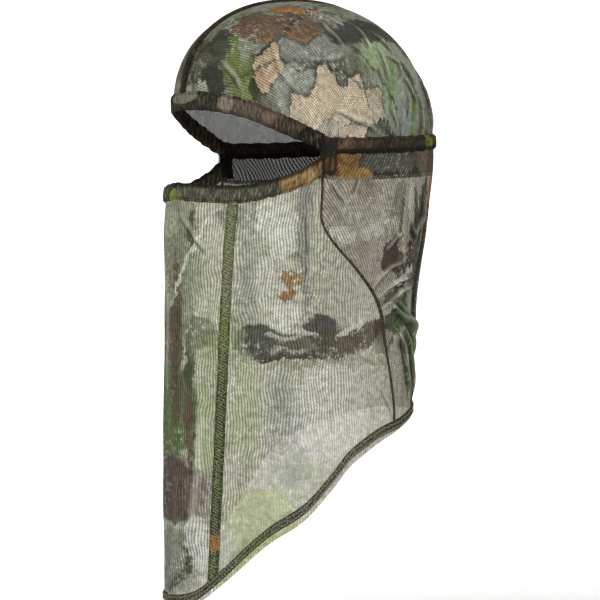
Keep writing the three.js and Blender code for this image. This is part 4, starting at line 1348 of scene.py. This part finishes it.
# ---------------------------------------------------------------- studio
# A pale sweep of paper, a large soft key light beside the camera, weaker ones from the side and from
# above the back, and a lamp on the paper.

FLOOR_DROP = 0.09
SWEEP_START = 2.4
SWEEP_RADIUS = 0.9
floor_height = cad_box[0][2] - FLOOR_DROP
profile = [(-3.6, 0.0), (SWEEP_START, 0.0)]
profile += [(SWEEP_START + SWEEP_RADIUS * math.sin(a), SWEEP_RADIUS * (1 - math.cos(a)))
            for a in np.linspace(0.1, math.pi / 2, 14)]
profile += [(SWEEP_START + SWEEP_RADIUS, 3.4)]
sweep_points = []
for out, height in profile:
    for aside in (-5.0, 5.0):
        away = -toward_camera.normalized() * out
        across = Vector((math.cos(VIEW_TURN), math.sin(VIEW_TURN), 0)) * aside
        sweep_points.append((away.x + across.x, away.y + across.y, floor_height + height))
sweep_mesh = bpy.data.meshes.new("paper_sweep")
sweep_faces = [(2 * i, 2 * i + 1, 2 * i + 3, 2 * i + 2) for i in range(len(profile) - 1)]
sweep_mesh.from_pydata(sweep_points, [], sweep_faces)
sweep_mesh.polygons.foreach_set("use_smooth", [True] * len(sweep_mesh.polygons))
sweep = bpy.data.objects.new("paper_sweep", sweep_mesh)
bpy.context.scene.collection.objects.link(sweep)
# Uncoated paper: even, pale and without shine.
paper = bpy.data.materials.new("matt white background paper")
paper.use_nodes = True
paper.node_tree.nodes["Principled BSDF"].inputs["Base Color"].default_value = colour("#f6f6f5")
paper.node_tree.nodes["Principled BSDF"].inputs["Roughness"].default_value = 0.95
sweep_mesh.materials.append(paper)


def area_light(name, turn, rise, distance, size, power, aim=box_centre):
    """A round soft light. turn is round from the front and rise above level, in degrees."""
    lamp = bpy.data.objects.new(name, bpy.data.lights.new(name, "AREA"))
    lamp.data.shape = "DISK"
    lamp.data.size = size
    lamp.data.energy = power
    a, e = math.radians(turn), math.radians(rise)
    back = Vector((math.sin(a) * math.cos(e), -math.cos(a) * math.cos(e), math.sin(e)))
    lamp.location = aim + back * distance
    lamp.rotation_euler = (-back).to_track_quat("-Z", "Y").to_euler()
    bpy.context.scene.collection.objects.link(lamp)


area_light("key_light", 40, 32, 2.2, 0.9, 26)
area_light("fill_light", 110, 5, 2.4, 1.2, 9)
area_light("top_light", 170, 75, 1.8, 1.2, 8)
area_light("paper_light", 60, 50, 1.7, 1.5, 40, aim=box_centre - toward_camera * 2.9)
world = bpy.data.worlds.new("soft studio")
bpy.context.scene.world = world
world.use_nodes = True
world.node_tree.nodes["Background"].inputs["Color"].default_value = (1, 1, 1, 1)
world.node_tree.nodes["Background"].inputs["Strength"].default_value = 0.4
bpy.context.scene.view_settings.view_transform = "Standard"
